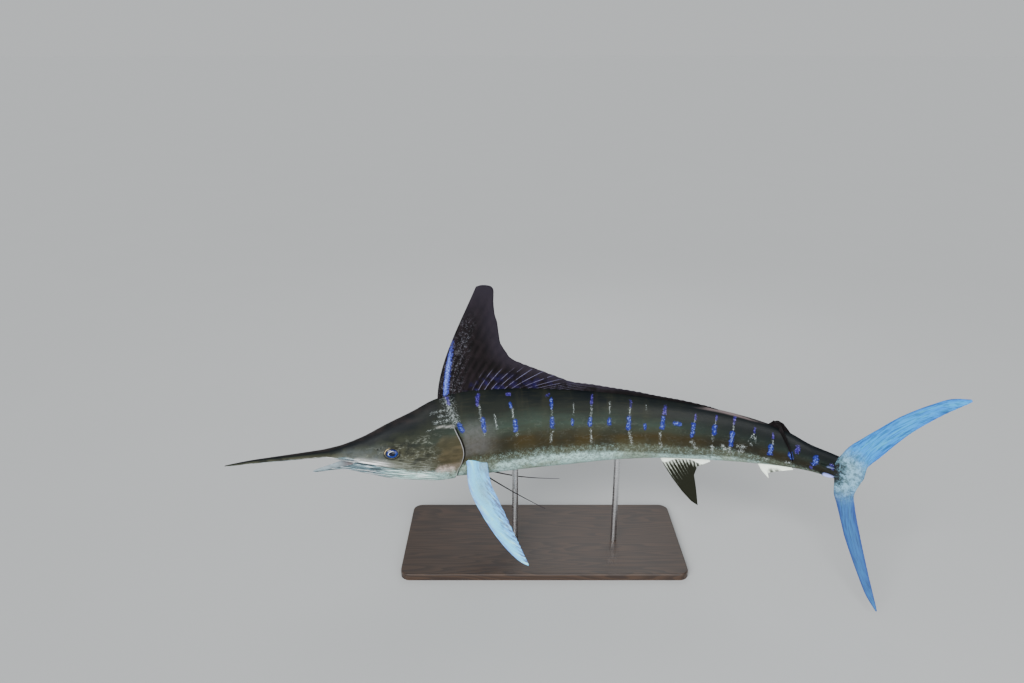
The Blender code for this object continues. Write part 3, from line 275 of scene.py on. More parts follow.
# Directions on the straight fish
AFT = np.array((1.0, 0.0, 0.0))
SIDEWAYS = np.array((0.0, 1.0, 0.0))

# The skin lies inside the solids' surface by this much
SKIN_INSET = 0.0003
WELD = 1e-6

# Spacing of the body's rings at places along it
RING_SPACING = np.array((
    (0.125, 0.0030), (0.25, 0.0026), (0.36, 0.0030), (0.50, 0.0040), (0.548, 0.0016), (0.558, 0.0007),
    (0.564, 0.0007), (0.575, 0.0018), (0.62, 0.0054), (0.75, 0.0060), (1.90, 0.0056), (2.03, 0.0040),
    (2.086, 0.0025),
))
TAIL_ROOT_START = 2.056
TAIL_ROOT_END = 2.086
# By how much the skin's end inside the tail fin is narrower and less tall than the stalk
TAIL_ROOT_NARROWS = 0.90
TAIL_ROOT_LOWERS = 0.20


def smooth(x, table):
    """Value at x on a monotone cubic curve through the rows (place, value) of the table."""
    places, values = np.asarray(table, float).T
    spans = np.diff(places)
    slopes = np.diff(values) / spans
    tangents = np.concatenate((slopes[:1], np.zeros(len(slopes) - 1), slopes[-1:]))
    same_way = slopes[:-1] * slopes[1:] > 0
    before = 2 * spans[1:] + spans[:-1]
    after = spans[1:] + 2 * spans[:-1]
    ahead = np.where(same_way, slopes[:-1], 1.0)
    behind = np.where(same_way, slopes[1:], 1.0)
    tangents[1:-1] = np.where(same_way, (before + after) / (before / ahead + after / behind), 0.0)
    x = np.clip(np.asarray(x, float), places[0], places[-1])
    i = np.clip(np.searchsorted(places, x) - 1, 0, len(spans) - 1)
    t = (x - places[i]) / spans[i]
    start = (1 + 2 * t) * (1 - t) ** 2 * values[i] + t * (1 - t) ** 2 * spans[i] * tangents[i]
    end = t * t * (3 - 2 * t) * values[i + 1] + t * t * (t - 1) * spans[i] * tangents[i + 1]
    return start + end


def held(value):
    """Value kept from 0 to 1."""
    return np.clip(value, 0.0, 1.0)


def ease(value, least=0.0):
    """Smooth step from the least value to 1: three times the square less twice the cube."""
    value = held(value)
    return least + (1 - least) * value * value * (3 - 2 * value)


def rounded(value, least):
    """Rounded step from the least value to 1, as a square root."""
    return least + (1 - least) * np.sqrt(held(value))


def unit(vector):
    """Vector of length 1 in the same direction."""
    return vector / np.linalg.norm(vector, axis=-1, keepdims=True)


def towards(way, normal):
    """Direction at right angles to a normal that lies nearest to a way."""
    return unit(way - normal * np.sum(normal * way, axis=-1, keepdims=True))


def body_line():
    """Sum of small steps along the turning and drooping direction: distance aft, turn, droop, position."""
    places = np.linspace(-0.25 * FORK_LENGTH, 1.25 * FORK_LENGTH, 3001)
    step = places[1] - places[0]
    ends = ((-FORK_LENGTH, TURN_DEGREES[0]), *zip(TURN_AT, TURN_DEGREES), (2 * FORK_LENGTH, TURN_DEGREES[-1]))
    turn = np.radians(smooth(places, ends))
    droop = TAIL_DROOP * held((places - DROOP_FROM) / (FORK_LENGTH - DROOP_FROM))
    line = np.stack((np.cumsum(np.cos(turn) * np.cos(droop)),
                     -np.cumsum(np.sin(turn) * np.cos(droop)),
                     -np.cumsum(np.sin(droop)))) * step
    middle = np.array([np.interp(MIDDLE, places, row) for row in line])
    return places, turn, droop, line - middle[:, None]


LINE = body_line()


def swim(points):
    """Carry straight points onto the body line: its point, plus y across it and z up from it."""
    points = np.asarray(points, float)
    x, y, z = np.moveaxis(points, -1, 0)
    places, turns, droops, line = LINE
    turn = np.interp(x, places, turns)
    droop = np.interp(x, places, droops)
    along, across, up = (np.interp(x, places, row) for row in line)
    along = along - np.sin(turn) * y + np.cos(turn) * np.sin(droop) * z
    across = across - np.cos(turn) * y - np.sin(turn) * np.sin(droop) * z
    up = up + np.cos(droop) * z
    tilt_cos = math.cos(NOSE_DOWN)
    tilt_sin = math.sin(NOSE_DOWN)
    return np.stack((tilt_cos * along - tilt_sin * up + AXIS_SHIFT,
                     across,
                     tilt_sin * along + tilt_cos * up + AXIS_HEIGHT), axis=-1)


def flank(x, level):
    """Half width and height at x and level: a superellipse that is sharper above its widest height."""
    x, level = np.broadcast_arrays(np.asarray(x, float), np.asarray(level, float))
    back = smooth(x, BODY[:, (0, 1)])
    belly = smooth(x, BODY[:, (0, 2)])
    width = smooth(x, BODY[:, (0, 3)])
    middle = belly + (back - belly) * WIDEST_LEVEL
    angle = level * math.pi
    across = np.sin(angle)
    up = np.cos(angle)
    power = 2 / np.where(up > 0, smooth(x, RIDGE), BELLY_ROUNDNESS)
    reach = np.where(up > 0, back - middle, middle - belly)
    y = width * np.sign(across) * np.abs(across) ** power
    z = middle + reach * np.sign(up) * np.abs(up) ** power
    return y, z


def level_at(x, z):
    """Level of the flank at height z: the superellipse solved for its angle."""
    back = smooth(x, BODY[:, (0, 1)])
    belly = smooth(x, BODY[:, (0, 2)])
    middle = belly + (back - belly) * WIDEST_LEVEL
    above = z > middle
    power = 2 / np.where(above, smooth(x, RIDGE), BELLY_ROUNDNESS)
    reach = np.where(above, back - middle, middle - belly)
    up = np.sign(z - middle) * held(np.abs(z - middle) / reach) ** (1 / power)
    return np.arccos(up) / math.pi


def on_flank(x, level, side, lift=0.0):
    """Points of the flank moved along its normal, the cross product of its two directions."""
    x, level = np.broadcast_arrays(np.asarray(x, float), np.asarray(level, float))
    reach = 1e-4
    mirror = np.array((1.0, side, 1.0))
    along = stack(x + reach, *flank(x + reach, level)) - stack(x - reach, *flank(x - reach, level))
    down = stack(x, *flank(x, np.minimum(level + reach, 1.0))) - stack(x, *flank(x, np.maximum(level - reach, 0.0)))
    normal = unit(np.cross(along, down))
    normal *= np.where(normal[..., 1:2] < 0, -1.0, 1.0)
    points = stack(x, *flank(x, level)) + normal * np.asarray(lift)[..., None]
    return points * mirror, normal * mirror


def stations(start, end, table):
    """Places whose distances follow a table of spacings: even steps of the sum of 1 over the spacing."""
    fine = np.linspace(start, end, 4001)
    density = 1 / np.interp(fine, *np.asarray(table).T)
    total = np.concatenate(((0.0,), np.cumsum((density[1:] + density[:-1]) / 2 * np.diff(fine))))
    return np.interp(np.linspace(0.0, total[-1], int(round(total[-1])) + 1), total, fine)


def along_path(path, shares):
    """Points at shares of the length of a line through the path's points."""
    path = np.asarray(path, float)
    lengths = np.concatenate(((0.0,), np.cumsum(np.linalg.norm(np.diff(path, axis=0), axis=1))))
    return np.stack([np.interp(shares * lengths[-1], lengths, column) for column in path.T], axis=-1)


def stack(*values):
    """Broadcast values as the last axis of one array."""
    return np.stack(np.broadcast_arrays(*values), axis=-1)


def curve(share, points):
    """Points at shares of a smooth curve through evenly counted points."""
    steps = np.linspace(0.0, 1.0, len(points))
    return stack(*(smooth(share, stack(steps, column)) for column in np.asarray(points).T))


def grid_quads(rows, columns):
    """Corner numbers of the quads of a grid that is closed round its columns."""
    row, column = np.meshgrid(np.arange(rows - 1), np.arange(columns), indexing="ij")
    beside = (column + 1) % columns
    corners = (row * columns + column, row * columns + beside,
               (row + 1) * columns + beside, (row + 1) * columns + column)
    return np.stack(corners, axis=-1).reshape(-1, 4)


def weld(mesh):
    """Join the points of a mesh that meet and turn its faces outwards."""
    shell = bmesh.new()
    shell.from_mesh(mesh)
    bmesh.ops.remove_doubles(shell, verts=shell.verts, dist=WELD)
    bmesh.ops.recalc_face_normals(shell, faces=shell.faces)
    shell.to_mesh(mesh)
    shell.free()


def make_piece(name, grids, nodes, material):
    """One smooth mesh from grids of straight points, carried onto the body line and welded where they meet.

    Each grid is (points, {attribute: values}) and is closed round its columns. The attribute fish holds the
    straight points unless the grid has its own.
    """
    grids = [(place, {"fish": place, **marks}) for place, marks in grids]
    quads = []
    count = 0
    for place, _ in grids:
        rows, columns = place.shape[:2]
        quads.append(grid_quads(rows, columns) + count)
        count += rows * columns
    mesh = bpy.data.meshes.new(name)
    mesh.from_pydata(np.concatenate([swim(place).reshape(-1, 3) for place, _ in grids]), [], np.concatenate(quads))
    for key in grids[0][1]:
        values = [np.broadcast_to(marks[key], place.shape).reshape(-1, 3) for place, marks in grids]
        mesh.attributes.new(key, "FLOAT_VECTOR", "POINT").data.foreach_set(
            "vector", np.concatenate(values).astype(np.float32).ravel())
    weld(mesh)
    mesh.shade_smooth()
    piece = bpy.data.objects.new(name, mesh)
    bpy.context.scene.collection.objects.link(piece)
    mesh.materials.append(material)
    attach(piece, "root")
    if nodes:
        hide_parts(*nodes)


# ---- materials


class Value:
    """Output of a node: its sums, products, steps and mixes add nodes to the same graph."""

    def __init__(self, graph, socket):
        self.graph = graph
        self.socket = socket

    def __add__(self, other):
        return self.graph.math("ADD", self, other)

    def __sub__(self, other):
        return self.graph.math("SUBTRACT", self, other)

    def __rsub__(self, other):
        return self.graph.math("SUBTRACT", other, self)

    def __mul__(self, other):
        return self.graph.math("MULTIPLY", self, other)

    def __abs__(self):
        return self.graph.math("ABSOLUTE", self)

    def step(self, low, high, to_low=0.0, to_high=1.0):
        """Smooth change of the value from low to high into to_low to to_high."""
        node = self.graph.tree.nodes.new("ShaderNodeMapRange")
        node.interpolation_type = "SMOOTHSTEP"
        return self.graph.fill(node, self, low, high, to_low, to_high)

    def fall(self, low, high):
        """Smooth change from 1 at low to 0 at high."""
        return self.step(low, high, 1.0, 0.0)

    def band(self, low, full, falls, high):
        """1 from full to falls, 0 below low and above high."""
        return self.step(low, full) * self.fall(falls, high)

    def mix(self, factor, colour, blend="MIX"):
        """This colour with another laid over it by a factor."""
        return self.graph.mix(factor, self, colour, blend)


class Graph:
    """Short words for building a node tree."""

    def __init__(self, tree):
        self.tree = tree

    def put(self, socket, value):
        """Link a value or set a number, a vector or a colour."""
        if isinstance(value, Value):
            self.tree.links.new(value.socket, socket)
        elif hasattr(socket.default_value, "__len__") and len(socket.default_value) == 4 and len(value) == 3:
            socket.default_value = (*value, 1.0)
        else:
            socket.default_value = value

    def fill(self, node, *values):
        """Give a node's inputs in order and return its first output."""
        for socket, value in zip(node.inputs, values):
            self.put(socket, value)
        return Value(self, node.outputs[0])

    def add(self, kind, **inputs):
        """First output of a new node; each input is named by its label."""
        node = self.tree.nodes.new(kind)
        for key, value in inputs.items():
            self.put(node.inputs[key], value)
        return Value(self, node.outputs[0])

    def math(self, operation, *values):
        """Math node's value."""
        node = self.tree.nodes.new("ShaderNodeMath")
        node.operation = operation
        return self.fill(node, *values)

    def mix(self, factor, one, two, blend="MIX"):
        """Colour between two colours."""
        node = self.tree.nodes.new("ShaderNodeMix")
        node.data_type = "RGBA"
        node.blend_type = blend
        for place, value in ((0, factor), (6, one), (7, two)):
            self.put(node.inputs[place], value)
        return Value(self, node.outputs[2])

    def split(self, vector):
        """The three values of a vector."""
        node = self.tree.nodes.new("ShaderNodeSeparateXYZ")
        self.put(node.inputs[0], vector)
        return [Value(self, socket) for socket in node.outputs]

    def combine(self, *values):
        """Vector of up to three values."""
        return self.fill(self.tree.nodes.new("ShaderNodeCombineXYZ"), *values)

    def attribute(self, name):
        """A vector attribute of the piece and its three values."""
        node = self.tree.nodes.new("ShaderNodeAttribute")
        node.attribute_name = name
        vector = Value(self, node.outputs["Vector"])
        return vector, *self.split(vector)

    def coordinate(self, kind="Object"):
        """Texture coordinate of the piece itself."""
        return Value(self, self.tree.nodes.new("ShaderNodeTexCoord").outputs[kind])

    def scaled(self, vector, scale):
        """Vector times a scale for each axis."""
        node = self.tree.nodes.new("ShaderNodeVectorMath")
        node.operation = "MULTIPLY"
        return self.fill(node, vector, scale)

    def noise(self, vector, scale, detail=3.0, rough=0.5):
        """Noise value from 0 to 1."""
        return self.add("ShaderNodeTexNoise", Vector=vector, Scale=scale, Detail=detail, Roughness=rough)

    def ramp(self, value, *stops):
        """Colour ramp of (place, colour) stops."""
        node = self.tree.nodes.new("ShaderNodeValToRGB")
        row = node.color_ramp.elements
        while len(row) < len(stops):
            row.new(1.0)
        for element, (place, colour) in zip(row, stops):
            element.position = place
            element.color = (*colour, 1.0)
        return self.fill(node, value)

    def group(self, name, maker, **inputs):
        """First output of a node group, which is built once."""
        node = self.tree.nodes.new("ShaderNodeGroup")
        node.node_tree = bpy.data.node_groups.get(name) or maker()
        for key, value in inputs.items():
            self.put(node.inputs[key], value)
        return Value(self, node.outputs[0])


def new_group(name, result, **inputs):
    """Empty node group with one float output; an input is a vector or a float by its default."""
    tree = bpy.data.node_groups.new(name, "ShaderNodeTree")
    for label, default in inputs.items():
        kind = "NodeSocketVector" if isinstance(default, tuple) else "NodeSocketFloat"
        tree.interface.new_socket(label, in_out="INPUT", socket_type=kind).default_value = default
    tree.interface.new_socket(result, in_out="OUTPUT", socket_type="NodeSocketFloat")
    graph = Graph(tree)
    given = [Value(graph, socket) for socket in tree.nodes.new("NodeGroupInput").outputs[:len(inputs)]]
    return graph, given, tree.nodes.new("NodeGroupOutput").inputs[0]


def speckle_group():
    """Clusters of fine grains: noise in noise, cut at a threshold."""
    graph, (place, grain, cover), out = new_group("speckles", "Mask", Vector=(0.0, 0.0, 0.0), Grain=300.0,
                                                  Cover=0.5)
    fine = graph.noise(place, grain, 2.0, 0.6)
    broad = graph.noise(place, grain * 0.3, 2.0, 0.5)
    limit = 0.72 - cover * 0.4
    graph.put(out, (fine * 0.65 + broad * 0.35 - limit).step(-0.03, 0.05))
    return graph.tree


def streak_group():
    """Long soft streaks: noise squeezed across one direction."""
    graph, (place, stretch), out = new_group("streaks", "Value", Vector=(0.0, 0.0, 0.0), Stretch=(6.0, 60.0, 60.0))
    graph.put(out, graph.noise(graph.scaled(place, stretch), 1.0, 4.0, 0.55))
    return graph.tree


def streaks(graph, vector, *stretch):
    """Long soft streaks along the axis that is stretched least."""
    return graph.group("streaks", streak_group, Vector=vector, Stretch=stretch)


def speckles(graph, vector, grain, cover):
    """Clusters of grains of a fineness that cover more or less."""
    return graph.group("speckles", speckle_group, Vector=vector, Grain=grain, Cover=cover)


def new_finish(name, roughness, specular=0.5, coat=0.0, coat_roughness=0.1, metallic=0.0):
    """Material with a Principled shader and its graph."""
    material = bpy.data.materials.new(name)
    material.use_nodes = True
    graph = Graph(material.node_tree)
    shader = material.node_tree.nodes["Principled BSDF"]
    for label, value in (("Roughness", roughness), ("Specular IOR Level", specular), ("Metallic", metallic),
                         ("Coat Weight", coat), ("Coat Roughness", coat_roughness)):
        shader.inputs[label].default_value = value
    return material, graph, shader


def bump(graph, shader, height, strength, distance):
    """Surface relief from a height value."""
    graph.put(shader.inputs["Normal"],
              graph.add("ShaderNodeBump", Height=height, Strength=strength, Distance=distance))


def skin_material(colours):
    """Wet skin: slate back, olive and brown flank, silver belly, jaw and throat, and broken blue bars."""
    material, graph, shader = new_finish("marlin_skin", 0.45, 0.07, 0.02, 0.25)
    place, x, _, z = graph.attribute("fish")
    _, rise, gill, dark = graph.attribute("tone")
    _, edge, lip, inside = graph.attribute("mark")
    _, blue, white, violet = graph.attribute("bars")

    long_streaks = streaks(graph, place, 5.0, 30.0, 34.0)
    fine_streaks = streaks(graph, place, 14.0, 120.0, 130.0)
    cloud = graph.noise(place, 7.0, 4.0, 0.6)
    warped = rise + (long_streaks - 0.5) * 0.35
    flank_colour = graph.ramp(warped, (0.02, colours.flank_low), (0.22, colours.flank_brown),
                              (0.5, colours.flank_olive), (0.76, colours.flank_dark), (0.95, colours.back))
    flank_colour = flank_colour.mix(cloud.step(0.38, 0.66, 0.0, 0.6), colours.flank_dark)
    flank_colour = flank_colour.mix(fine_streaks.step(0.5, 0.72, 0.0, 0.16), colours.flank_light)
    bands = graph.noise(graph.scaled(place, (20.0, 5.0, 5.0)), 1.0, 3.0, 0.6)
    flank_colour = flank_colour.mix(bands.step(0.5, 0.7, 0.0, 0.18), colours.flank_light)

    # The head is greyer, with dark patches and wavy pale lines round the eye and over the nape
    head_colour = graph.ramp(warped, (0.02, colours.cheek), (0.35, colours.head_grey),
                             (0.65, colours.head_dark), (0.84, colours.back), (1.0, colours.crown))
    patches = graph.noise(graph.scaled(place, (22.0, 26.0, 34.0)), 1.0, 4.0, 0.6)
    mottle = graph.noise(place, 50.0, 6.0, 0.72)
    head_colour = head_colour.mix(patches.step(0.46, 0.66, 0.0, 0.7), colours.back)
    colour = flank_colour.mix(x.fall(0.34, 0.56), head_colour)
    # Streaks of cheek and jaw run down their slope
    sheared = graph.combine(x * 11.0, x * 50.0 + z * 210.0)
    jaw_lines = graph.noise(sheared, 1.0, 5.0, 0.62)
    low_head = rise.fall(0.02, 0.36) * x.band(0.08, 0.18, 0.42, 0.5)
    colour = colour.mix(low_head * jaw_lines.step(0.47, 0.58) * 0.7, colours.cheek_pale)
    snout = (x.band(0.06, 0.15, 0.25, 0.32) * rise.band(0.0, 0.1, 0.4, 0.8) * mottle.step(0.35, 0.6, 0.25, 0.6))
    colour = colour.mix(snout, colours.snout)
    waves = graph.noise(graph.scaled(place, (20.0, 26.0, 44.0)), 1.0, 3.0, 0.6)
    lines = abs(waves - 0.5).fall(0.004, 0.034)
    head = x.step(0.16, 0.26) * x.step(0.42, 0.52, 1.0, 0.15) * rise.fall(0.5, 0.7)
    colour = colour.mix(head * lines * patches.fall(0.42, 0.6) * 0.5, colours.cheek_pale)

    shoulder = (x.band(0.575, 0.6, 0.64, 0.76) * rise.band(0.02, 0.14, 0.45, 0.7)
                * mottle.step(0.35, 0.65, 0.35, 0.6))
    colour = colour.mix(shoulder, colours.shoulder)
    # The skin darkens towards the tail
    upper_rear = x.step(1.3, 1.6) * rise.step(0.35, 0.8) * 0.28
    colour = colour.mix(x.step(1.2, 1.8, 0.0, 0.54) + upper_rear, colours.back)

    # Gill cover: warm brown, pinkish at its lower edge
    warm = graph.mix(long_streaks.step(0.38, 0.62), colours.gill_brown, colours.gill_warm)
    warm = warm.mix(patches.step(0.44, 0.68, 0.0, 0.35), colours.flank_dark)
    pink = rise.step(0.03, 0.15, 0.9, 0.0) * x.step(0.53, 0.55, 1.0, 0.3)
    warm = warm.mix(pink * mottle.step(0.36, 0.56, 1.0, 0.4), colours.gill_pink)
    cover = gill * rise.step(0.42, 0.75, 0.85, 0.25) * ((patches - 0.5) * 0.16 + x).step(0.455, 0.5)
    colour = colour.mix(cover, warm)

    # Silver of jaw, throat and belly, dusted at its upper edge and grained with dark and white
    ragged = graph.noise(place, 150.0, 6.0, 0.8) - 0.5
    grain = speckles(graph, place, 260.0, 0.5)
    edge_noise = graph.noise(place, 90.0, 7.0, 0.8) - 0.5
    soft_rise = edge_noise * 0.26 + rise
    trunk = x.step(0.56, 0.7)
    dusted = soft_rise.fall(-0.06, 0.04) * trunk
    colour = colour.mix(dusted * 0.55, colours.belly_dust)
    lowered = trunk * 0.12 + x.step(1.05, 1.45, 0.0, 0.11)
    silver = (lowered + soft_rise).fall(-0.08, 0.04)
    dust = soft_rise.fall(-0.08, 0.1) * grain * trunk
    silver = graph.math("MAXIMUM", silver, dust * 0.45)
    belly = graph.mix(cloud.step(0.42, 0.58), colours.belly_beige, colours.belly_silver)
    rear = x.step(1.15, 1.45)
    upper = rise.step(-0.55, -0.05)
    belly = belly.mix(mottle.step(0.44, 0.58) * (upper * 0.35 + 0.3), colours.belly_grey)
    belly = belly.mix(ragged.step(-0.1, 0.0, 0.75, 0.0), colours.belly_grey)
    belly = belly.mix(ragged.step(0.03, 0.12, 0.0, 0.6), colours.bar_white)
    belly = belly.mix(rear * (upper * 0.3 + 0.04), colours.belly_grey)
    jaw = x.fall(0.44, 0.54)
    back_jaw = x.step(0.22, 0.36)
    silvery = graph.mix(back_jaw, colours.jaw_silver, colours.throat)
    silvery = silvery.mix(jaw_lines.step(0.44, 0.53) * (back_jaw * -0.18 + 0.92), colours.jaw_grey)
    silvery = silvery.mix(jaw_lines.fall(0.38, 0.45) * 0.9, colours.lip)
    belly = belly.mix(jaw, silvery)
    colour = colour.mix(silver, belly)
    colour = colour.mix(lip * 0.95 * jaw_lines.step(0.43, 0.54, 1.0, 0.16), colours.lip)

    # Bars, their borders broken by noise: powdery white, violet and strong blue strokes
    fine_grain = graph.noise(place, 330.0, 3.0, 0.7) - 0.5
    white_field = ragged * 2.8 + (fine_grain * 2.6 + white)
    powder = white_field.step(0.72, 1.35) * white.step(0.1, 0.45)
    lumpy = (mottle - 0.5) * 1.5 + ragged * 1.1
    violet_field = fine_grain * 0.6 + (lumpy + violet)
    blue_field = fine_grain * 0.3 + (lumpy + blue)
    colour = colour.mix(powder * x.step(0.52, 0.62, 0.54, 0.74), colours.bar_white)
    colour = colour.mix(violet_field.step(0.46, 0.8) * 0.8,
                        graph.mix(ragged.step(0.02, 0.1), colours.bar_violet, colours.bar_lilac))
    colour = colour.mix(blue_field.step(0.42, 0.72) * 0.92,
                        graph.mix((blue * 0.22 + ragged).step(0.15, 0.32), colours.bar_blue,
                                  colours.bar_pale))
    ridge = rise.step(0.955, 0.995) * x.band(1.5, 1.58, 1.74, 1.8)
    colour = colour.mix(ridge * long_streaks.step(0.35, 0.55) * 0.8, colours.ridge_pink)

    colour = colour.mix(edge * 0.85,
                        graph.ramp(x * 0.5, (0.17, colours.eye_gold), (0.22, colours.edge_pale),
                                   (0.7, colours.keel_pale)))
    lining = graph.mix(jaw_lines.step(0.48, 0.64, 0.0, 0.25), colours.mouth_pale, colours.jaw_grey)
    lining = lining.mix(x.step(0.09, 0.15), colours.mouth)
    colour = colour.mix(inside, lining)
    # Painted shade: darkens the gill slit, the mouth's crease, the nostrils and the rings round the eyes
    colour = colour.mix(dark, colours.painted_shade)
    graph.put(shader.inputs["Base Color"], colour)

    scales = graph.noise(graph.scaled(place, (80.0, 260.0, 280.0)), 1.0, 3.0, 0.6)
    grain_height = scales * 0.7 + fine_streaks * 0.8
    bump(graph, shader, grain_height, 0.3, 0.0012)
    gloss = scales * 0.22 + 0.36
    graph.put(shader.inputs["Roughness"], silver * -0.05 + gloss)
    return material


def dark_fin_material(colours):
    """Dark brown-purple fin: a blue-white streak behind the front edge, violet between the rays' roots."""
    material, graph, shader = new_finish("dark_fin_skin", 0.5, 0.06)
    place = graph.attribute("fish")[0]
    _, share, rise, ray = graph.attribute("fin")
    _, front, pale, root = graph.attribute("mark")
    lines = streaks(graph, place, 40.0, 90.0, 22.0)
    colour = graph.mix(lines.step(0.4, 0.62), colours.fin_dark, colours.fin_brown)
    colour = colour.mix(ray * rise.step(0.15, 0.9, 0.3, 0.12), colours.fin_ray)
    glow = root * graph.noise(place, 22.0, 4.0, 0.6).step(0.44, 0.7)
    colour = colour.mix(glow * 0.5, colours.fin_violet)
    thin = ray.step(0.955, 0.998) * lines.step(0.36, 0.52)
    low = share.band(0.14, 0.19, 0.42, 0.64)
    low = low * (share * -4.5 + rise).fall(-0.45, -0.2)
    colour = colour.mix(low * thin, colours.fin_line)
    colour = colour.mix(rise.step(0.6, 1.0, 0.0, 0.5), colours.fin_top)
    colour = colour.mix(share.step(0.5, 0.72, 0.0, 0.75), colours.fin_dark)
    grain = speckles(graph, place, 330.0, 0.36)
    wide = front.step(0.06, 0.42)
    colour = colour.mix(wide * grain * 0.7, colours.fin_speckle)
    torn = (graph.noise(place, 230.0, 4.0, 0.75) - 0.5) * 1.7 + front
    streak = torn.step(0.6, 0.9)
    colour = colour.mix(streak * front.step(0.34, 0.72, 0.0, 0.9),
                        graph.ramp(torn * 0.7, (0.42, colours.fin_violet), (0.58, colours.fin_blue),
                                   (0.8, colours.fin_streak)))
    worn = (graph.noise(place, 75.0, 5.0, 0.75) - 0.5) * 0.55 + pale
    colour = colour.mix(pale.step(0.02, 0.1), colours.fin_olive)
    colour = colour.mix(worn.step(0.22, 0.85) * pale.step(0.0, 0.15), colours.fin_white)
    graph.put(shader.inputs["Base Color"], colour)
    bump(graph, shader, lines, 0.35, 0.0012)
    return material


def pale_fin_material(colours):
    """Pale blue-white fin: blue towards its edges, fine grey streaks along the rays, specks at the root."""
    material, graph, shader = new_finish("pale_fin_skin", 0.45, 0.2)
    place, x, _, z = graph.attribute("fish")
    vector, _, rise, ray = graph.attribute("fin")
    _, blue, grey, root = graph.attribute("mark")
    lines = streaks(graph, vector, 130.0, 22.0, 0.0)
    broad = streaks(graph, vector, 70.0, 9.0, 0.0)
    cloud = grey * -0.2 + (graph.noise(place, 11.0, 4.0, 0.6) * 0.5 + broad * 0.5)
    colour = graph.mix(cloud.step(0.06, 0.66), colours.pale_blue, colours.pale_white)
    mottle = graph.noise(place, 48.0, 5.0, 0.72)
    creamy = mottle * 0.35 + broad * 0.65
    colour = colour.mix(creamy.step(0.5, 0.64, 0.0, 0.65), colours.pale_cream)
    colour = colour.mix(blue * lines.step(0.34, 0.6, 0.25, 1.0), colours.pale_edge)
    colour = colour.mix(lines.step(0.46, 0.62) * grey, colours.pale_grey)
    colour = colour.mix(ray * 0.16, colours.fin_white)
    specks = speckles(graph, place, 230.0, 0.38)
    tail = x.step(1.98, 2.0)
    colour = colour.mix(tail, colour.mix(1.0, colours.tail_tint, "MULTIPLY"))
    colour = colour.mix(tail * (z.step(-0.13, -0.04, 0.95, 0.0) * (blue * 0.3 + 0.72)),
                        graph.mix(blue, colours.tail_mid, colours.tail_low))
    foot = graph.math("MAXIMUM", tail, rise.step(0.05, 0.2, 0.4, 0.0))
    green = mottle.step(0.42, 0.6) * foot
    colour = colour.mix(root * 0.9, graph.mix(green, colours.root_cream, colours.root_green))
    spotted = root * foot.step(0.0, 1.0, 0.25, 0.5)
    colour = colour.mix(specks * (spotted + 0.08), colours.flank_olive)
    # The stalk's dark end frays out over the tail's root
    behind = x - 2.045
    low = (z + 0.014) * 0.72
    reach = graph.math("SQRT", behind * behind + low * low)
    fan = graph.combine(graph.math("ARCTAN2", low, behind) * 9.0, reach * 40.0)
    frayed = graph.noise(fan, 1.0, 4.0, 0.65) * 0.05 + reach
    frayed = graph.noise(place, 75.0, 6.0, 0.78) * 0.13 + frayed
    stalk = frayed.fall(0.114, 0.15) * x.step(2.0, 2.01)
    colour = colour.mix(stalk, colours.stalk_end)
    graph.put(shader.inputs["Base Color"], colour)
    bump(graph, shader, lines, 0.35, 0.0012)
    return material


def eye_material(colours):
    """Glossy eye: navy pupil, a pale broken ring of painted reflection, deep blue iris with painted light, gold at
    the front of the rim.
    """
    material, graph, shader = new_finish("wet_eye", 0.22, 0.2, 0.3, 0.06)
    vector, along, up, radius = graph.attribute("eye")
    grain = graph.noise(vector, 9.0, 4.0, 0.6)
    iris = graph.mix(grain.step(0.35, 0.65), colours.iris_dark, colours.iris_blue)
    turn = graph.math("ARCTAN2", up, along)
    shape = graph.math("COSINE", turn * 3.0) * 0.035 + radius
    ring = abs(shape - 0.43).fall(0.012, 0.048)
    upper = (up * 0.8 + along * -0.9).step(0.02, 0.3)
    # Painted light: the iris brighter at its lower rear
    lit = (up * -0.8 + along * 0.3).step(-0.25, 0.3)
    iris = iris.mix(lit * grain.step(0.34, 0.66, 0.0, 0.55), colours.painted_iris_light)
    colour = iris.mix(shape.fall(0.4, 0.44), colours.pupil)
    # Painted reflection: a pale broken ring over the pupil's upper front
    colour = colour.mix(ring * upper, colours.painted_eye_reflection)
    colour = colour.mix(radius.step(0.62, 0.74), colours.pupil)
    graph.put(shader.inputs["Base Color"], colour)
    return material


def wood_material(colours):
    """Dark stained board: long rings of grain under a satin lacquer."""
    material, graph, shader = new_finish("stand_wood", 0.42, 0.5, 0.12, 0.25)
    spot = graph.coordinate()
    wave = graph.noise(graph.scaled(spot, (0.7, 7.0, 7.0)), 1.0, 3.0, 0.5)
    fibre = graph.noise(graph.scaled(spot, (7.0, 320.0, 320.0)), 1.0, 4.0, 0.65)
    rings = graph.math("FRACT", wave * 22.0)
    band = rings.band(0.0, 0.85, 0.88, 1.0)
    colour = graph.mix(band, colours.wood_dark, colours.wood_light)
    colour = colour.mix(fibre.step(0.5, 0.72, 0.0, 0.6), colours.wood_dark)
    graph.put(shader.inputs["Base Color"], colour)
    bump(graph, shader, fibre, 0.15, 0.0006)
    return material


def steel_material(colours):
    """Brushed steel rod: fine turned lines round it."""
    material, graph, shader = new_finish("stand_steel", 0.3, metallic=1.0)
    spot = graph.coordinate()
    lines = graph.noise(graph.scaled(spot, (30.0, 30.0, 1400.0)), 1.0, 2.0, 0.5)
    graph.put(shader.inputs["Base Color"], graph.mix(lines, colours.steel_dark, colours.steel_light))
    graph.put(shader.inputs["Roughness"], lines.step(0.3, 0.7, 0.22, 0.38))
    bump(graph, shader, lines, 0.06, 0.0003)
    return material


def plain_material(name, colour, roughness):
    """Matt ground of the studio, very slightly mottled."""
    material, graph, shader = new_finish(name, roughness)
    tone = graph.noise(graph.coordinate(), 1.3, 3.0).step(0.3, 0.7, 0.0, 0.05)
    graph.put(shader.inputs["Base Color"], graph.mix(tone, colour, tuple(0.8 * c for c in colour)))
    return material


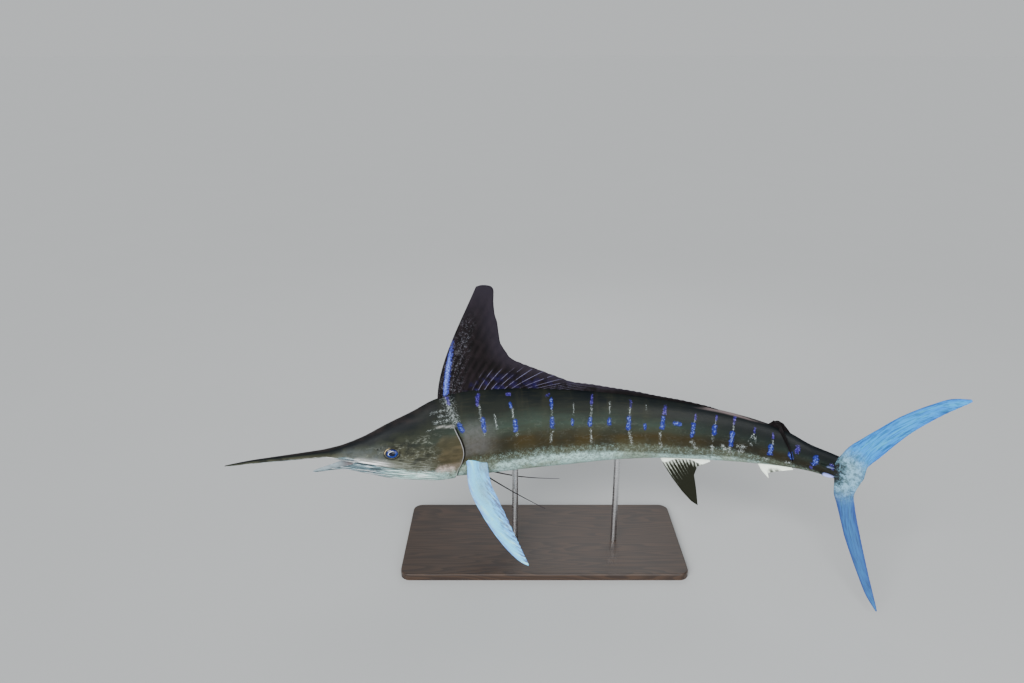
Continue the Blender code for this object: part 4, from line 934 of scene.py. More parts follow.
def finish(name, maker):
    """Material, built once from the scene's colours."""
    return bpy.data.materials.get(name) or maker(bpy.context.scene.marlin_colours)


# ---- body

UPPER_SHARES = np.linspace(0.0, 1.0, 52)
LOWER_SHARES = np.linspace(0.0, 1.0, 35)
LINING = 16


def sizes():
    """The scene's sizes of fine forms."""
    return bpy.context.scene.marlin_sizes


def rim_table():
    """Level of the upper lip and of the lower lip along the mouth, found on the flank's heights."""
    places = np.linspace(0.0, MOUTH_CORNER, 140)
    levels = np.linspace(0.0, 1.0, 801)
    heights = flank(places[:, None], levels)[1]
    lip = smooth(places, MOUTH)
    opening = MOUTH_GAPE * held(1 - places / GAPE_END) ** GAPE_POWER
    return places, *(np.array([np.interp(z, row[::-1], levels[::-1]) for z, row in zip(rim, heights)])
                     for rim in (lip, lip - opening))


RIMS = rim_table()


def lipped(x, level, rim):
    """The flank at a level, swollen near the level of the lip's rim."""
    y, z = flank(np.maximum(x, 0.0), level)
    fade = ease(x / LIP_FULL_AT) * (1 - ease((x - LIP_FADES_FROM) / (MOUTH_CORNER - LIP_FADES_FROM)))
    return y + sizes().lip * ease(1 - np.abs(level - rim) / LIP_BAND) * fade, z


def bill_blended(x, y, z, angle):
    """Points of the head's section, or ahead of it of the round bill at an angle from its top."""
    top, under, width = (smooth(x, BILL[:, (0, row)]) for row in (1, 2, 3))
    blend = ease((x - BILL_BLEND[0]) / (BILL_BLEND[1] - BILL_BLEND[0]))
    bill_z = (top + under) / 2 + (top - under) / 2 * np.cos(angle)
    return blend * y + (1 - blend) * width * np.sin(angle), blend * z + (1 - blend) * bill_z


def upper_side(x, share):
    """Outer side from the back to the upper lip: the flank with a swollen lip, or the round bill ahead."""
    rim = np.interp(x, RIMS[0], RIMS[1])
    level = rim * share
    y, z = bill_blended(x, *lipped(x, level, rim), share * BILL_RIM_ANGLE)
    return y, z, level


def lower_side(x, share):
    """Outer side from the lower lip to the belly, narrowed towards the tip of the jaw."""
    rim = np.interp(x, RIMS[0], RIMS[2])
    level = rim + (1 - rim) * share
    y, z = lipped(x, level, rim)
    start, full = JAW_TIP_WIDENS
    return y * ease((x - start) / (full - start), JAW_TIP_WIDTH), z, level


def cover_shape(x, level):
    """Height of the skin at the gill cover, and masks of the cover, of its edge and of the painted shade in the
    slit.
    """
    rear = smooth(level, COVER[:, (0, 2)])
    front = smooth(level, COVER[:, (0, 1)])
    behind = x - rear
    amount = ease((level - 0.30) / 0.06)
    height = smooth(behind, EDGE_PROFILE) * sizes().gill_step * amount
    crease = np.exp(-((x - front) / 0.0045) ** 2) * ease((level - 0.44) / 0.08) * ease((0.80 - level) / 0.1)
    height = height - COVER_CREASE * crease
    fold = np.exp(-((level - 0.318 - 0.35 * (x - 0.555)) / 0.006) ** 2)
    fold = fold * ease((x - 0.47) / 0.03) * ease((0.565 - x) / 0.01)
    height = height - COVER_FOLD * fold
    cover = ease((x - front) / 0.020) * ease(-(behind + 0.001) / 0.004) * ease((level - 0.35) / 0.05)
    edge = 0.85 * np.exp(-((behind + 0.0019) / 0.0014) ** 2) * amount * ease((0.97 - level) / 0.1)
    # Painted shade in the gill slit behind the cover's free edge
    slit = np.exp(-((behind - 0.0030) / 0.0032) ** 2) * (behind > 0) * amount
    return height, cover, np.maximum(edge, 0.55 * fold), slit


def nostrils(x, z):
    """Depth of the nostrils with their raised rims, and the painted shade in them."""
    depth = 0.0
    dark = 0.0
    for at, place, radius in NOSTRILS:
        far = ((x - at) / (1.3 * radius)) ** 2 + ((z - flank(at, place)[1]) / radius) ** 2
        depth = depth + NOSTRIL_DEPTH * np.exp(-far) - NOSTRIL_RIM * np.exp(-(np.sqrt(far) - 1.7) ** 2 * 6)
        # Painted shade in the nostril pits
        dark = np.maximum(dark, np.exp(-far * 1.6))
    return depth, dark


def skin_marks(x, z, cover=0.0, edge=0.0, dark=0.0, lip=0.0, inside=0.0):
    """Attributes of the skin: tone (rise from the silver's edge to the back, gill cover, painted shade), mark and
    bars.
    """
    top = np.where(x < 0.10, smooth(x, BILL[:, (0, 1)]), smooth(x, BODY[:, (0, 1)]))
    silver = smooth(x, SILVER)
    rise = (z - silver) / np.maximum(top - silver, 0.002)
    return {"tone": stack(rise, cover, dark), "mark": stack(edge + 0 * rise, lip, inside),
            "bars": stack(*(stroke_field(x, z, table) for table in (BLUE_STROKES, WHITE_STROKES, VIOLET_STROKES)))}


def stroke_field(x, z, strokes):
    """1 on the middle line of the nearest stroke, a half at its border, 0 at twice its width."""
    field = np.zeros(np.broadcast(x, z).shape)
    for start_x, start_z, end_x, end_z, half in strokes:
        run = np.array((end_x - start_x, end_z - start_z))
        share = held(((x - start_x) * run[0] + (z - start_z) * run[1]) / (run @ run))
        far = np.hypot(x - start_x - share * run[0], z - start_z - share * run[1])
        field = np.maximum(field, 1 - 0.5 * far / half)
    return field


def both_sides(half, side=1.0):
    """Half rows from back to belly, then the same rows upwards on the right side."""
    return np.concatenate((half, half[:, -2:0:-1] * np.array((1.0, side, 1.0))), axis=1)


def ring_grid(place, marks):
    """Grid for make_piece from half rows, closed round the fish."""
    return both_sides(place, -1.0), {key: both_sides(value) for key, value in marks.items()}


def trunk_grid():
    """Head behind the gape, trunk and stalk: the flank pushed in or out along its normal."""
    rows = stations(GAPE_END, TAIL_ROOT_END, RING_SPACING)[:, None]
    rim = np.interp(rows, RIMS[0], RIMS[1])
    levels = np.concatenate((rim * UPPER_SHARES, rim + (1 - rim) * LOWER_SHARES[1:]), axis=1)
    rear = smooth(levels, COVER[:, (0, 2)])
    x = rows + (rear - EDGE_ROW) * ease(1 - np.abs(rows - EDGE_ROW) / EDGE_REACH)
    body_x = np.minimum(x, BODY[-1, 0])
    split = len(UPPER_SHARES)
    y, z, level = (np.concatenate(pair, axis=1) for pair in zip(
        upper_side(body_x[:, :split], UPPER_SHARES), lower_side(body_x[:, split:], LOWER_SHARES[1:])))
    wedge = ease((x - TAIL_ROOT_START) / (TAIL_ROOT_END - TAIL_ROOT_START))
    y = y * (1 - TAIL_ROOT_NARROWS * wedge)
    z = z * (1 - TAIL_ROOT_LOWERS * wedge)
    place = stack(x, y, z)
    down = np.gradient(place, axis=1)
    down[:, 0] = (0.0, 1.0, 0.0)
    down[:, -1] = (0.0, -1.0, 0.0)
    normal = unit(np.cross(down, np.gradient(place, axis=0)))
    middle_z = np.mean(z, axis=1, keepdims=True)
    normal = np.where(np.sum(normal * stack(0.0, y, z - middle_z), axis=-1, keepdims=True) < 0, -normal, normal)
    height, cover, edge, slit = cover_shape(x, level)
    depth, pit = nostrils(x, z)
    off = level - np.interp(x, RIMS[0], RIMS[1])
    ramp_in = ease((x - GAPE_END) / 0.012) * (1 - ease((x - 0.31) / 0.03))
    crease = np.exp(-(off / 0.010) ** 2) * ramp_in
    sheath = np.exp(-(y / 0.013) ** 2) * (z > middle_z) * ease((x - 0.50) / 0.03) * ease((1.62 - x) / 0.05)
    lift = height - depth - MOUTH_CREASE * crease + sizes().sheath * sheath - SKIN_INSET
    place = place + normal * lift[..., None]
    place[:, (0, -1), 1] = 0.0
    spread = ease((x - 0.13) / 0.05)
    lip = np.exp(-((off + 0.020 + 0.028 * spread) / (0.014 + 0.022 * spread)) ** 2)
    lip = lip * (off < 0) * (1 - ease((x - 0.24) / 0.09))
    # Painted shade in the gill slit, along the mouth's crease and in the nostrils
    dark = held(0.95 * slit + 0.85 * np.exp(-(off / 0.008) ** 2) * ramp_in + pit)
    return place, skin_marks(x, z, cover, edge, dark, lip)


def closed_tip(x, tip, length):
    """Roundness of a tip: the share of the full section, a quarter circle over a short length."""
    return np.sqrt(held(1 - (1 - held((x - tip) / length)) ** 2))


def drawn_in(rows, y, z, centre, tip):
    """Half rows drawn together towards a tip, both their ends on the fish's middle."""
    y = y * tip
    y[:, (0, -1)] = 0.0
    return stack(rows, y, centre + (z - centre) * tip)


def upper_jaw_grid():
    """Bill and upper jaw: the outer side on both sides, closed underneath by the palate."""
    start = BILL_TIP + BILL_TIP_LENGTH
    rows = np.concatenate((np.linspace(BILL_TIP, start, 7)[:-1], np.linspace(start, GAPE_END, 92)))[:, None]
    y, z, _ = upper_side(rows, UPPER_SHARES)
    inner = np.linspace(0.0, 1.0, LINING + 1)[1:]
    palate = bill_blended(rows, y[:, -1:] * (1 - inner), z[:, -1:] + PALATE_RISE * np.sin(inner * math.pi / 2),
                          BILL_RIM_ANGLE + (math.pi - BILL_RIM_ANGLE) * inner)
    y, z = (np.concatenate(pair, axis=1) for pair in zip((y, z), palate))
    centre = smooth(rows, BILL[:, (0, 1)]) / 2 + smooth(rows, BILL[:, (0, 2)]) / 2
    place = drawn_in(rows, y, z, centre, closed_tip(rows, BILL_TIP, BILL_TIP_LENGTH))
    share = np.concatenate((UPPER_SHARES, 1 + inner))
    lip = np.exp(-((share - 0.965) / 0.032) ** 2) * ease((rows + 0.06) / 0.10, 0.35) * ease((rows + 0.20) / 0.1)
    inside = np.where(share > 1.05, ease((rows - 0.02) / 0.04), 0.0)
    return place, skin_marks(place[..., 0], place[..., 2], lip=lip, inside=inside)


def lower_jaw_grid():
    """Lower jaw ahead of the gape's end: the outer side on both sides, closed on top by the trough."""
    rows = np.concatenate((np.linspace(0.0, JAW_TIP_LENGTH, 9)[:-1],
                           np.linspace(JAW_TIP_LENGTH, GAPE_END, 40)))[:, None]
    y, z, _ = lower_side(rows, LOWER_SHARES)
    trough = np.linspace(0.0, 1.0, LINING + 1)[:-1]
    back = ease((rows - TROUGH_ENDS_FROM) / (GAPE_END - TROUGH_ENDS_FROM))
    floor = z[:, :1] + (PALATE_RISE * back - JAW_TROUGH * (1 - back)) * np.cos(trough * math.pi / 2)
    y = np.concatenate((y[:, :1] * trough, y), axis=1)
    z = np.concatenate((floor, z), axis=1)
    centre = (z.max(axis=1, keepdims=True) + z.min(axis=1, keepdims=True)) / 2
    place = drawn_in(rows, y, z, centre, closed_tip(rows, 0.0, JAW_TIP_LENGTH))
    marks = skin_marks(place[..., 0], place[..., 2], inside=np.where(np.arange(y.shape[1]) < LINING, 1.0, 0.0))
    marks["tone"][..., 0] = np.minimum(marks["tone"][..., 0], -0.2)
    return place, marks


def capped(place, marks):
    """Half rows with the last one drawn together to a point on the middle."""
    centre = place[-1].mean(axis=0) * np.array((1.0, 0.0, 1.0))
    rows = np.concatenate((place, np.broadcast_to(centre, place[-1:].shape)))
    return rows, {key: np.concatenate((value, value[-1:])) for key, value in marks.items()}


def circle(count):
    """Turns evenly round a circle."""
    return np.linspace(0.0, 2 * math.pi, count + 1)[:-1]


def ball(bands, sectors):
    """A ball's points as shares of three radii: towards the pole, and at the turn's cosine and sine across."""
    polar = np.linspace(0.0, math.pi, bands + 1)[:, None]
    turn = circle(sectors)
    return np.cos(polar) + 0 * turn, np.sin(polar) * np.cos(turn), np.sin(polar) * np.sin(turn)


def set_out(start, *parts):
    """A start plus, for each part, a share times a direction times a length."""
    return start + sum(share[..., None] * way * length for share, way, length in parts)


def directions(x, level, side, sunk):
    """Place under the flank, and its directions aft, upwards and outwards."""
    place, normal = on_flank(x, level, side, -sunk)
    along = towards(AFT, normal)
    tall = np.cross(normal, along)
    return place, along, tall * np.sign(tall[2]), normal


def lids(side):
    """Lids and folds round an eye: a closed ring whose upper face follows the lids' profile."""
    turn = circle(96)
    top = np.linspace(LID_PROFILE[0, 0], LID_PROFILE[-1, 0], 30)
    radius = np.concatenate((top, top[::-6], top[:1]))[:, None]
    sunk = LID_DEPTH * ((np.arange(len(radius)) >= len(top)) & (np.arange(len(radius)) < len(radius) - 1))
    height = smooth(radius, LID_PROFILE) * sizes().lid - sunk[:, None]
    reach = 1 + (radius - 1) * (1 + 0.04 * np.sin(2 * turn + 0.6) + 0.02 * np.sin(5 * turn))
    x = EYE_AT + EYE_SEEN[0] * reach * np.cos(turn)
    z = flank(EYE_AT, EYE_LEVEL)[1] + EYE_SEEN[1] * reach * np.sin(turn)
    fold = 0.0005 * np.sin(turn * 7 + radius * 9) * ease((radius - 1.1) / 0.15) * ease((1.5 - radius) / 0.1)
    place, _ = on_flank(x, level_at(x, z), side, height + fold)
    # Painted shade round the eye: a dark ring at the lids' inner edge and a wider one outside, heavier below
    rim = 0.90 * np.exp(-((radius - 0.93) / 0.06) ** 2)
    outer = (0.68 - 0.25 * np.sin(turn)) * np.exp(-((radius - 1.24) / 0.13) ** 2)
    gold = 1.15 * ease(-np.cos(turn + 0.65) * 3.4 - 2.3) * np.exp(-((radius - 1.16) / 0.06) ** 2)
    return place, {**skin_marks(x, z, edge=gold, dark=rim + outer), "fish": stack(x, place[..., 1], z)}


def eyeball(side):
    """Flattened ball on the flank: long along the fish, less tall, with its pole facing outwards."""
    place, along, tall, normal = directions(EYE_AT, EYE_LEVEL, side, EYE_SUNK)
    out, right, up = ball(48, 64)
    points = set_out(place, (right, along, EYE_SIZE[0]), (up, tall, EYE_SIZE[1]), (out, normal, sizes().eye_bulge))
    return points, {"eye": stack(right, up, np.sqrt(1 - np.maximum(out, 0.0) ** 2))}


def keel(at, level, paleness, half, side):
    """Keel of the tail stalk: a flattened ball on the flank, thin across and proud outwards."""
    place, along, tall, normal = directions(at, level, side, KEEL_SUNK)
    aft, out, up = ball(24, 32)
    points = set_out(place, (aft, along, KEEL_HALF_LENGTH), (up, tall, half), (out, normal, sizes().keel))
    pale = held(out) * ease((0.15 + 0.77 * (paleness - 0.30) + aft) / 0.5)
    return points, {"tone": (0.5, 0.0, 0.0), "mark": stack(paleness * ease(pale * 1.8), 0.0, 0.0),
                    "bars": (0.0, 0.0, 0.0)}


# ---- fins


def ray_pattern(share, rays):
    """Ray count across a share from 0 to 1 as rounded ridges: 1 on a ray and 0 between two."""
    return 0.5 - 0.5 * np.cos(2 * math.pi * share * rays)


def fin_grid(place, half, outward, fin, mark):
    """Two faces of a thin fin, half a thickness off its middle surface, joined round the edges."""
    lift = half[..., None] * outward
    faces = np.concatenate((place + lift, (place - lift)[:, ::-1]), axis=1)
    middle, fin, mark = (np.concatenate((value, value[:, ::-1]), axis=1) for value in (
        place, np.broadcast_to(fin, place.shape), np.broadcast_to(mark, place.shape)))
    return (np.concatenate((middle[:1], faces, middle[-1:])),
            {key: np.concatenate((value[:1], value, value[-1:])) for key, value in (("fin", fin), ("mark", mark))})


def section(chord, nose, thin, thin_from):
    """Thickness across a fin's chord: round at the front edge, thinner aft, rounded at the rear edge."""
    front = 0.10 + 0.90 * np.sqrt(held(chord / nose)) * (1 - thin * ease((chord - thin_from) / (1 - thin_from)))
    return front * rounded((1 - chord) / 0.03, 0.35)


def first_dorsal():
    """First dorsal fin: rays from the base to the outline, bowed forward, the skin thinner between them."""
    share = np.linspace(0.0, 1.0, 421)
    rows = np.linspace(0.0, 1.0, 56)[:, None]
    base_x = DORSAL_SPAN[0] + (DORSAL_SPAN[1] - DORSAL_SPAN[0]) * share ** 1.15
    edge_x = smooth(base_x, DORSAL_EDGE[:, (0, 1)])
    edge_z = smooth(base_x, DORSAL_EDGE[:, (0, 2)])
    back = smooth(base_x, BODY[:, (0, 1)]) - ROOT_SUNK
    x = base_x + (edge_x - base_x) * rows - smooth(base_x, DORSAL_BOW) * 4 * rows * (1 - rows) * (1.4 - rows)
    ray = ray_pattern(share, DORSAL_RAYS)
    z = back + (edge_z - back) * rows
    z = z - DORSAL_SCALLOP * (1 - ray) * ease((rows - 0.9) / 0.1) * ease((base_x - 0.56) / 0.04)
    tall = np.clip((edge_z - back) / 0.12, 0.25, 1.0)
    membrane = (0.0032 - 0.0024 * rows) * tall + 0.0002
    half = membrane + (DORSAL_RAY_RELIEF - 0.0011 * rows) * ray * tall + 0.0016 * np.exp(-(share / 0.01) ** 2)
    half = half * rounded((1 - rows) / 0.02, 0.25) * ease(share / 0.006, 0.35) + 0.00025
    off = share - 0.036 + 0.075 * (rows - 0.08)
    streak = np.exp(-(off / np.where(off < 0, 0.014, 0.032) / (1.0 - 0.8 * rows)) ** 2)
    streak = streak * ease((rows + 0.02) / 0.06) * ease((0.90 - rows) / 0.60)
    speckle = 0.42 * np.exp(-((share - 0.062 + 0.070 * rows) / (0.07 - 0.03 * rows)) ** 2)
    speckle = speckle * ease((0.92 - rows) / 0.4)
    root = ease((share - 0.10) / 0.08) * ease(1 - (z - back) / 0.080) * ease((1.00 - base_x) / 0.35)
    return fin_grid(stack(x, 0.0, z), half, SIDEWAYS, stack(share, rows, ray),
                    stack(np.maximum(streak, speckle), 0.0, root))


def small_fin(span, edges, column, rays, root, rim, white_depth=0.0):
    """Small upright fin: rays from the base line to the trailing edge, bowed like the leading edge."""
    share = np.linspace(0.0, 1.0, rays * 8 + 1)
    rows = np.linspace(0.0, 1.0, 44)[:, None]
    base_x = span[0] + (span[1] - span[0]) * share
    base_z = smooth(base_x, BODY[:, (0, column)]) - (ROOT_SUNK if column == 1 else -ROOT_SUNK)
    base = stack(base_x, base_z)
    lead = along_path((base[0], *edges[0]), rows[:, 0])
    bow = lead - lead[0] - (lead[-1] - lead[0]) * rows
    flat = base + (along_path(edges[1], share) - base) * rows[..., None]
    flat = flat + bow[:, None] * ((1 - share) ** 2)[:, None]
    x, z = flat[..., 0], flat[..., 1]
    ray = ray_pattern(share, rays)
    half = (root + (rim - root) * rows) / 2 + 0.0006 * ray * (1 - 0.7 * rows)
    half = half * rounded((1 - rows) / 0.03, 0.25) + 0.0002
    half = half * ease(share / 0.04, 0.4) * ease((1 - share) / 0.04, 0.4)
    white = 0.0
    if white_depth:
        depth = np.abs(z - smooth(x, BODY[:, (0, column)]))
        reach = white_depth * (1.0 + 0.9 * ease((0.35 - share) / 0.3) + 1.3 * ease((share - 0.60) / 0.3))
        band = 1.7 * ease((0.55 * reach - depth) / (0.9 * white_depth))
        fade = 0.66 * ease(1 - depth / (2.6 * reach)) ** 1.5 * (0.52 + 0.48 * ray ** 2)
        lines = 0.52 * ray ** 8 * ease((0.95 - rows) / 0.75) * (1 - 0.60 * ease((share - 0.45) / 0.4))
        white = np.maximum(np.maximum(band, fade), np.maximum(lines, 0.12))
    return fin_grid(stack(x, 0.0, z), half, SIDEWAYS, stack(0.08 * share, 0.1 * rows, 0.3 * ray),
                    stack(0.0, white, 0.0))


def lobe_and_shadow_strip():
    """Soft rear lobe of the second dorsal fin, partly painted shadow: a strip along its middle line, narrowing to a
    point.
    """
    share = np.linspace(0.0, 1.0, 61)
    path = curve(share, LOBE_AND_SHADOW_PATH)
    tangent = unit(np.gradient(path, axis=0))
    across = towards(AFT, tangent)
    width = (0.0105 - 0.0089 * share ** 1.2) * ease(share / 0.22, 0.15)
    offset = np.linspace(-1.0, 1.0, 21)
    place = path[:, None] + across[:, None] * (width[:, None] * offset)[..., None]
    half = 0.0008 * np.sqrt(1 - 0.9 * offset ** 2) + 0.0002 * ray_pattern((offset + 1) / 2, 5)
    return fin_grid(place, half, np.cross(tangent, across)[:, None], stack(0.08 * share[:, None], 0.0, 0.0),
                    np.zeros(3))


def tail_lobe(lead, trail, way):
    """Tail lobe: chords between its two edges, round as the stalk at the root, then flat with fine rays."""
    reach = held(np.concatenate(((0.0,), np.linspace(0.0, 1.0, 121))))
    front, rear = curve(reach, lead), curve(reach, trail)
    front[0] -= (LOBE_SUNK, way * 0.006)
    rear[0, 0] -= LOBE_SUNK
    rear[:, 1] -= way * LOBE_OVERLAP * ease((0.286 - reach) / 0.05)
    reach = reach[:, None]
    chord = np.linspace(0.0, 1.0, 97)
    width = np.linalg.norm(rear - front, axis=1)[:, None]
    notch = LOBE_NOTCH * (1 - ray_pattern(width / RAY_STEP, 1)) * ease((reach - 0.3) / 0.1)
    length = (width - notch) * chord
    flat = front[:, None] + ((rear - front) / width)[:, None] * length[..., None]
    ray = ray_pattern(length / RAY_STEP, 1)
    blend = ease(reach / 0.27)
    round_half = STALK_END_HALF * closed_tip(chord, 0.0, 1.0) * (1 - 0.80 * blend)
    flat_half = smooth(reach, LOBE_THICKNESS) / 2 * section(chord, 0.10, 0.80, 0.25)
    half = (1 - blend) * round_half + blend * flat_half + 0.0003
    half = half + sizes().tail_ray * ray * ease(reach / 0.1) * ease((1.02 - reach) / 0.3)
    half[0] *= 0.85
    edge = 0.75 * np.maximum(ease((0.22 - chord) / 0.22), ease((chord - 0.72) / 0.28)) * ease(reach / 0.12)
    root = ease((0.135 - np.hypot(flat[..., 0] - 2.080, flat[..., 1] + 0.012)) / 0.085)
    grey = (0.55 if way > 0 else 0.85) + 0.25 * ease((reach - 0.3) / 0.5) * ease((chord - 0.5) / 0.3)
    return fin_grid(stack(flat[..., 0], 0.0, flat[..., 1]), half, SIDEWAYS, stack(length, 0.5 * reach, ray),
                    stack(edge, grey, root))


def pectoral(side):
    """Pectoral fin: a sickle laid out from its root along the span, thickest near the front edge."""
    root, _ = on_flank(*PECTORAL_ROOT, side, -PECTORAL_SUNK)
    span = unit(np.array(PECTORAL_WAYS[side]))
    chord = towards(AFT, span)
    share = np.linspace(-0.07, 1.0, 128)[:, None]
    offset = np.linspace(0.0, 1.0, 105)
    front = smooth(share, PECTORAL_OUTLINE[:, (0, 1)])
    rear = smooth(share, PECTORAL_OUTLINE[:, (0, 2)])
    width = (rear - front) * (0.25 + 0.75 * closed_tip(1 - share, 0.0, 0.02)) * (1 + 4 * np.minimum(share, 0.0))
    notch = PECTORAL_NOTCH * (1 - ray_pattern(width / RAY_STEP, 1)) * ease((share - 0.1) / 0.1)
    length = (width - notch) * offset
    along = (front + rear) / 2 - width / 2 + length
    ray = ray_pattern(length / RAY_STEP, 1)
    half = smooth(share, PECTORAL_THICKNESS) / 2 * section(offset, 0.12, 0.70, 0.30)
    half = half + sizes().pectoral_ray * ray * ease((share - 0.10) / 0.1) * ease((1.02 - share) / 0.3)
    place = root + span * (share * PECTORAL_SPAN)[..., None] + chord * along[..., None]
    edge = np.maximum(ease((0.24 - offset) / 0.24) * 0.8, 0.6 * ease((offset - 0.70) / 0.30))
    grey = 0.10 + 0.90 * ease((offset - 0.35) / 0.4) * ease((share - 0.02) / 0.3)
    grey = np.maximum(grey, 0.85 * ease((offset - 0.35) / 0.3) * ease((0.20 - share) / 0.12))
    cream = 0.8 * np.exp(-((share - 0.25) / 0.12) ** 2 - ((offset - 0.52) / 0.28) ** 2)
    cream = np.maximum(cream, 0.9 * ease((offset - 0.50) / 0.25) * ease((0.17 - share) / 0.10))
    return fin_grid(place, half, np.cross(span, chord),
                    stack(length - 0.28 * PECTORAL_SPAN * share, 0.5 * share, ray), stack(edge, grey, cream))


def pelvic(side):
    """Pelvic fin: a flat tapering thread along a slightly sagging line."""
    root, _ = on_flank(*PELVIC_ROOT, side, -PELVIC_SUNK)
    reach = np.array(PELVIC_REACH[side]) * np.array((1.0, side, 1.0))
    share = np.linspace(0.0, 1.0, 81)[:, None]
    line = root + reach * share
    line[:, 2:] -= PELVIC_SAG[side] * np.sin(share * math.pi)
    across = unit(np.cross(unit(reach), (0.0, 0.0, 1.0)))
    up = np.cross(across, unit(reach))
    radius = (PELVIC_RADII[0] + (PELVIC_RADII[1] - PELVIC_RADII[0]) * share) * closed_tip(1 - share, 0.0, 0.01)
    turn = circle(24)
    groove = 1 - 0.22 * np.exp(-(np.sin(turn) ** 2) * 12)
    ring = (np.cos(turn) * groove)[:, None] * across * 1.5 + np.sin(turn)[:, None] * up * 0.8
    place = line[:, None] + ring * radius[..., None]
    place = np.concatenate((np.broadcast_to(line[:1, None], place[:1].shape), place))
    rise = np.concatenate((share[:1], share))
    return place, {"fin": stack(0.0, rise, 2.5), "mark": stack(0.0, 0.25 * ease((0.3 - rise) / 0.3), 0.0)}


# ---- settings


def colour_value(label, words, value):
    """Colour property."""
    return bpy.props.FloatVectorProperty(name=label, description=words, subtype="COLOR", size=3, min=0.0, max=1.0,
                                         default=value)


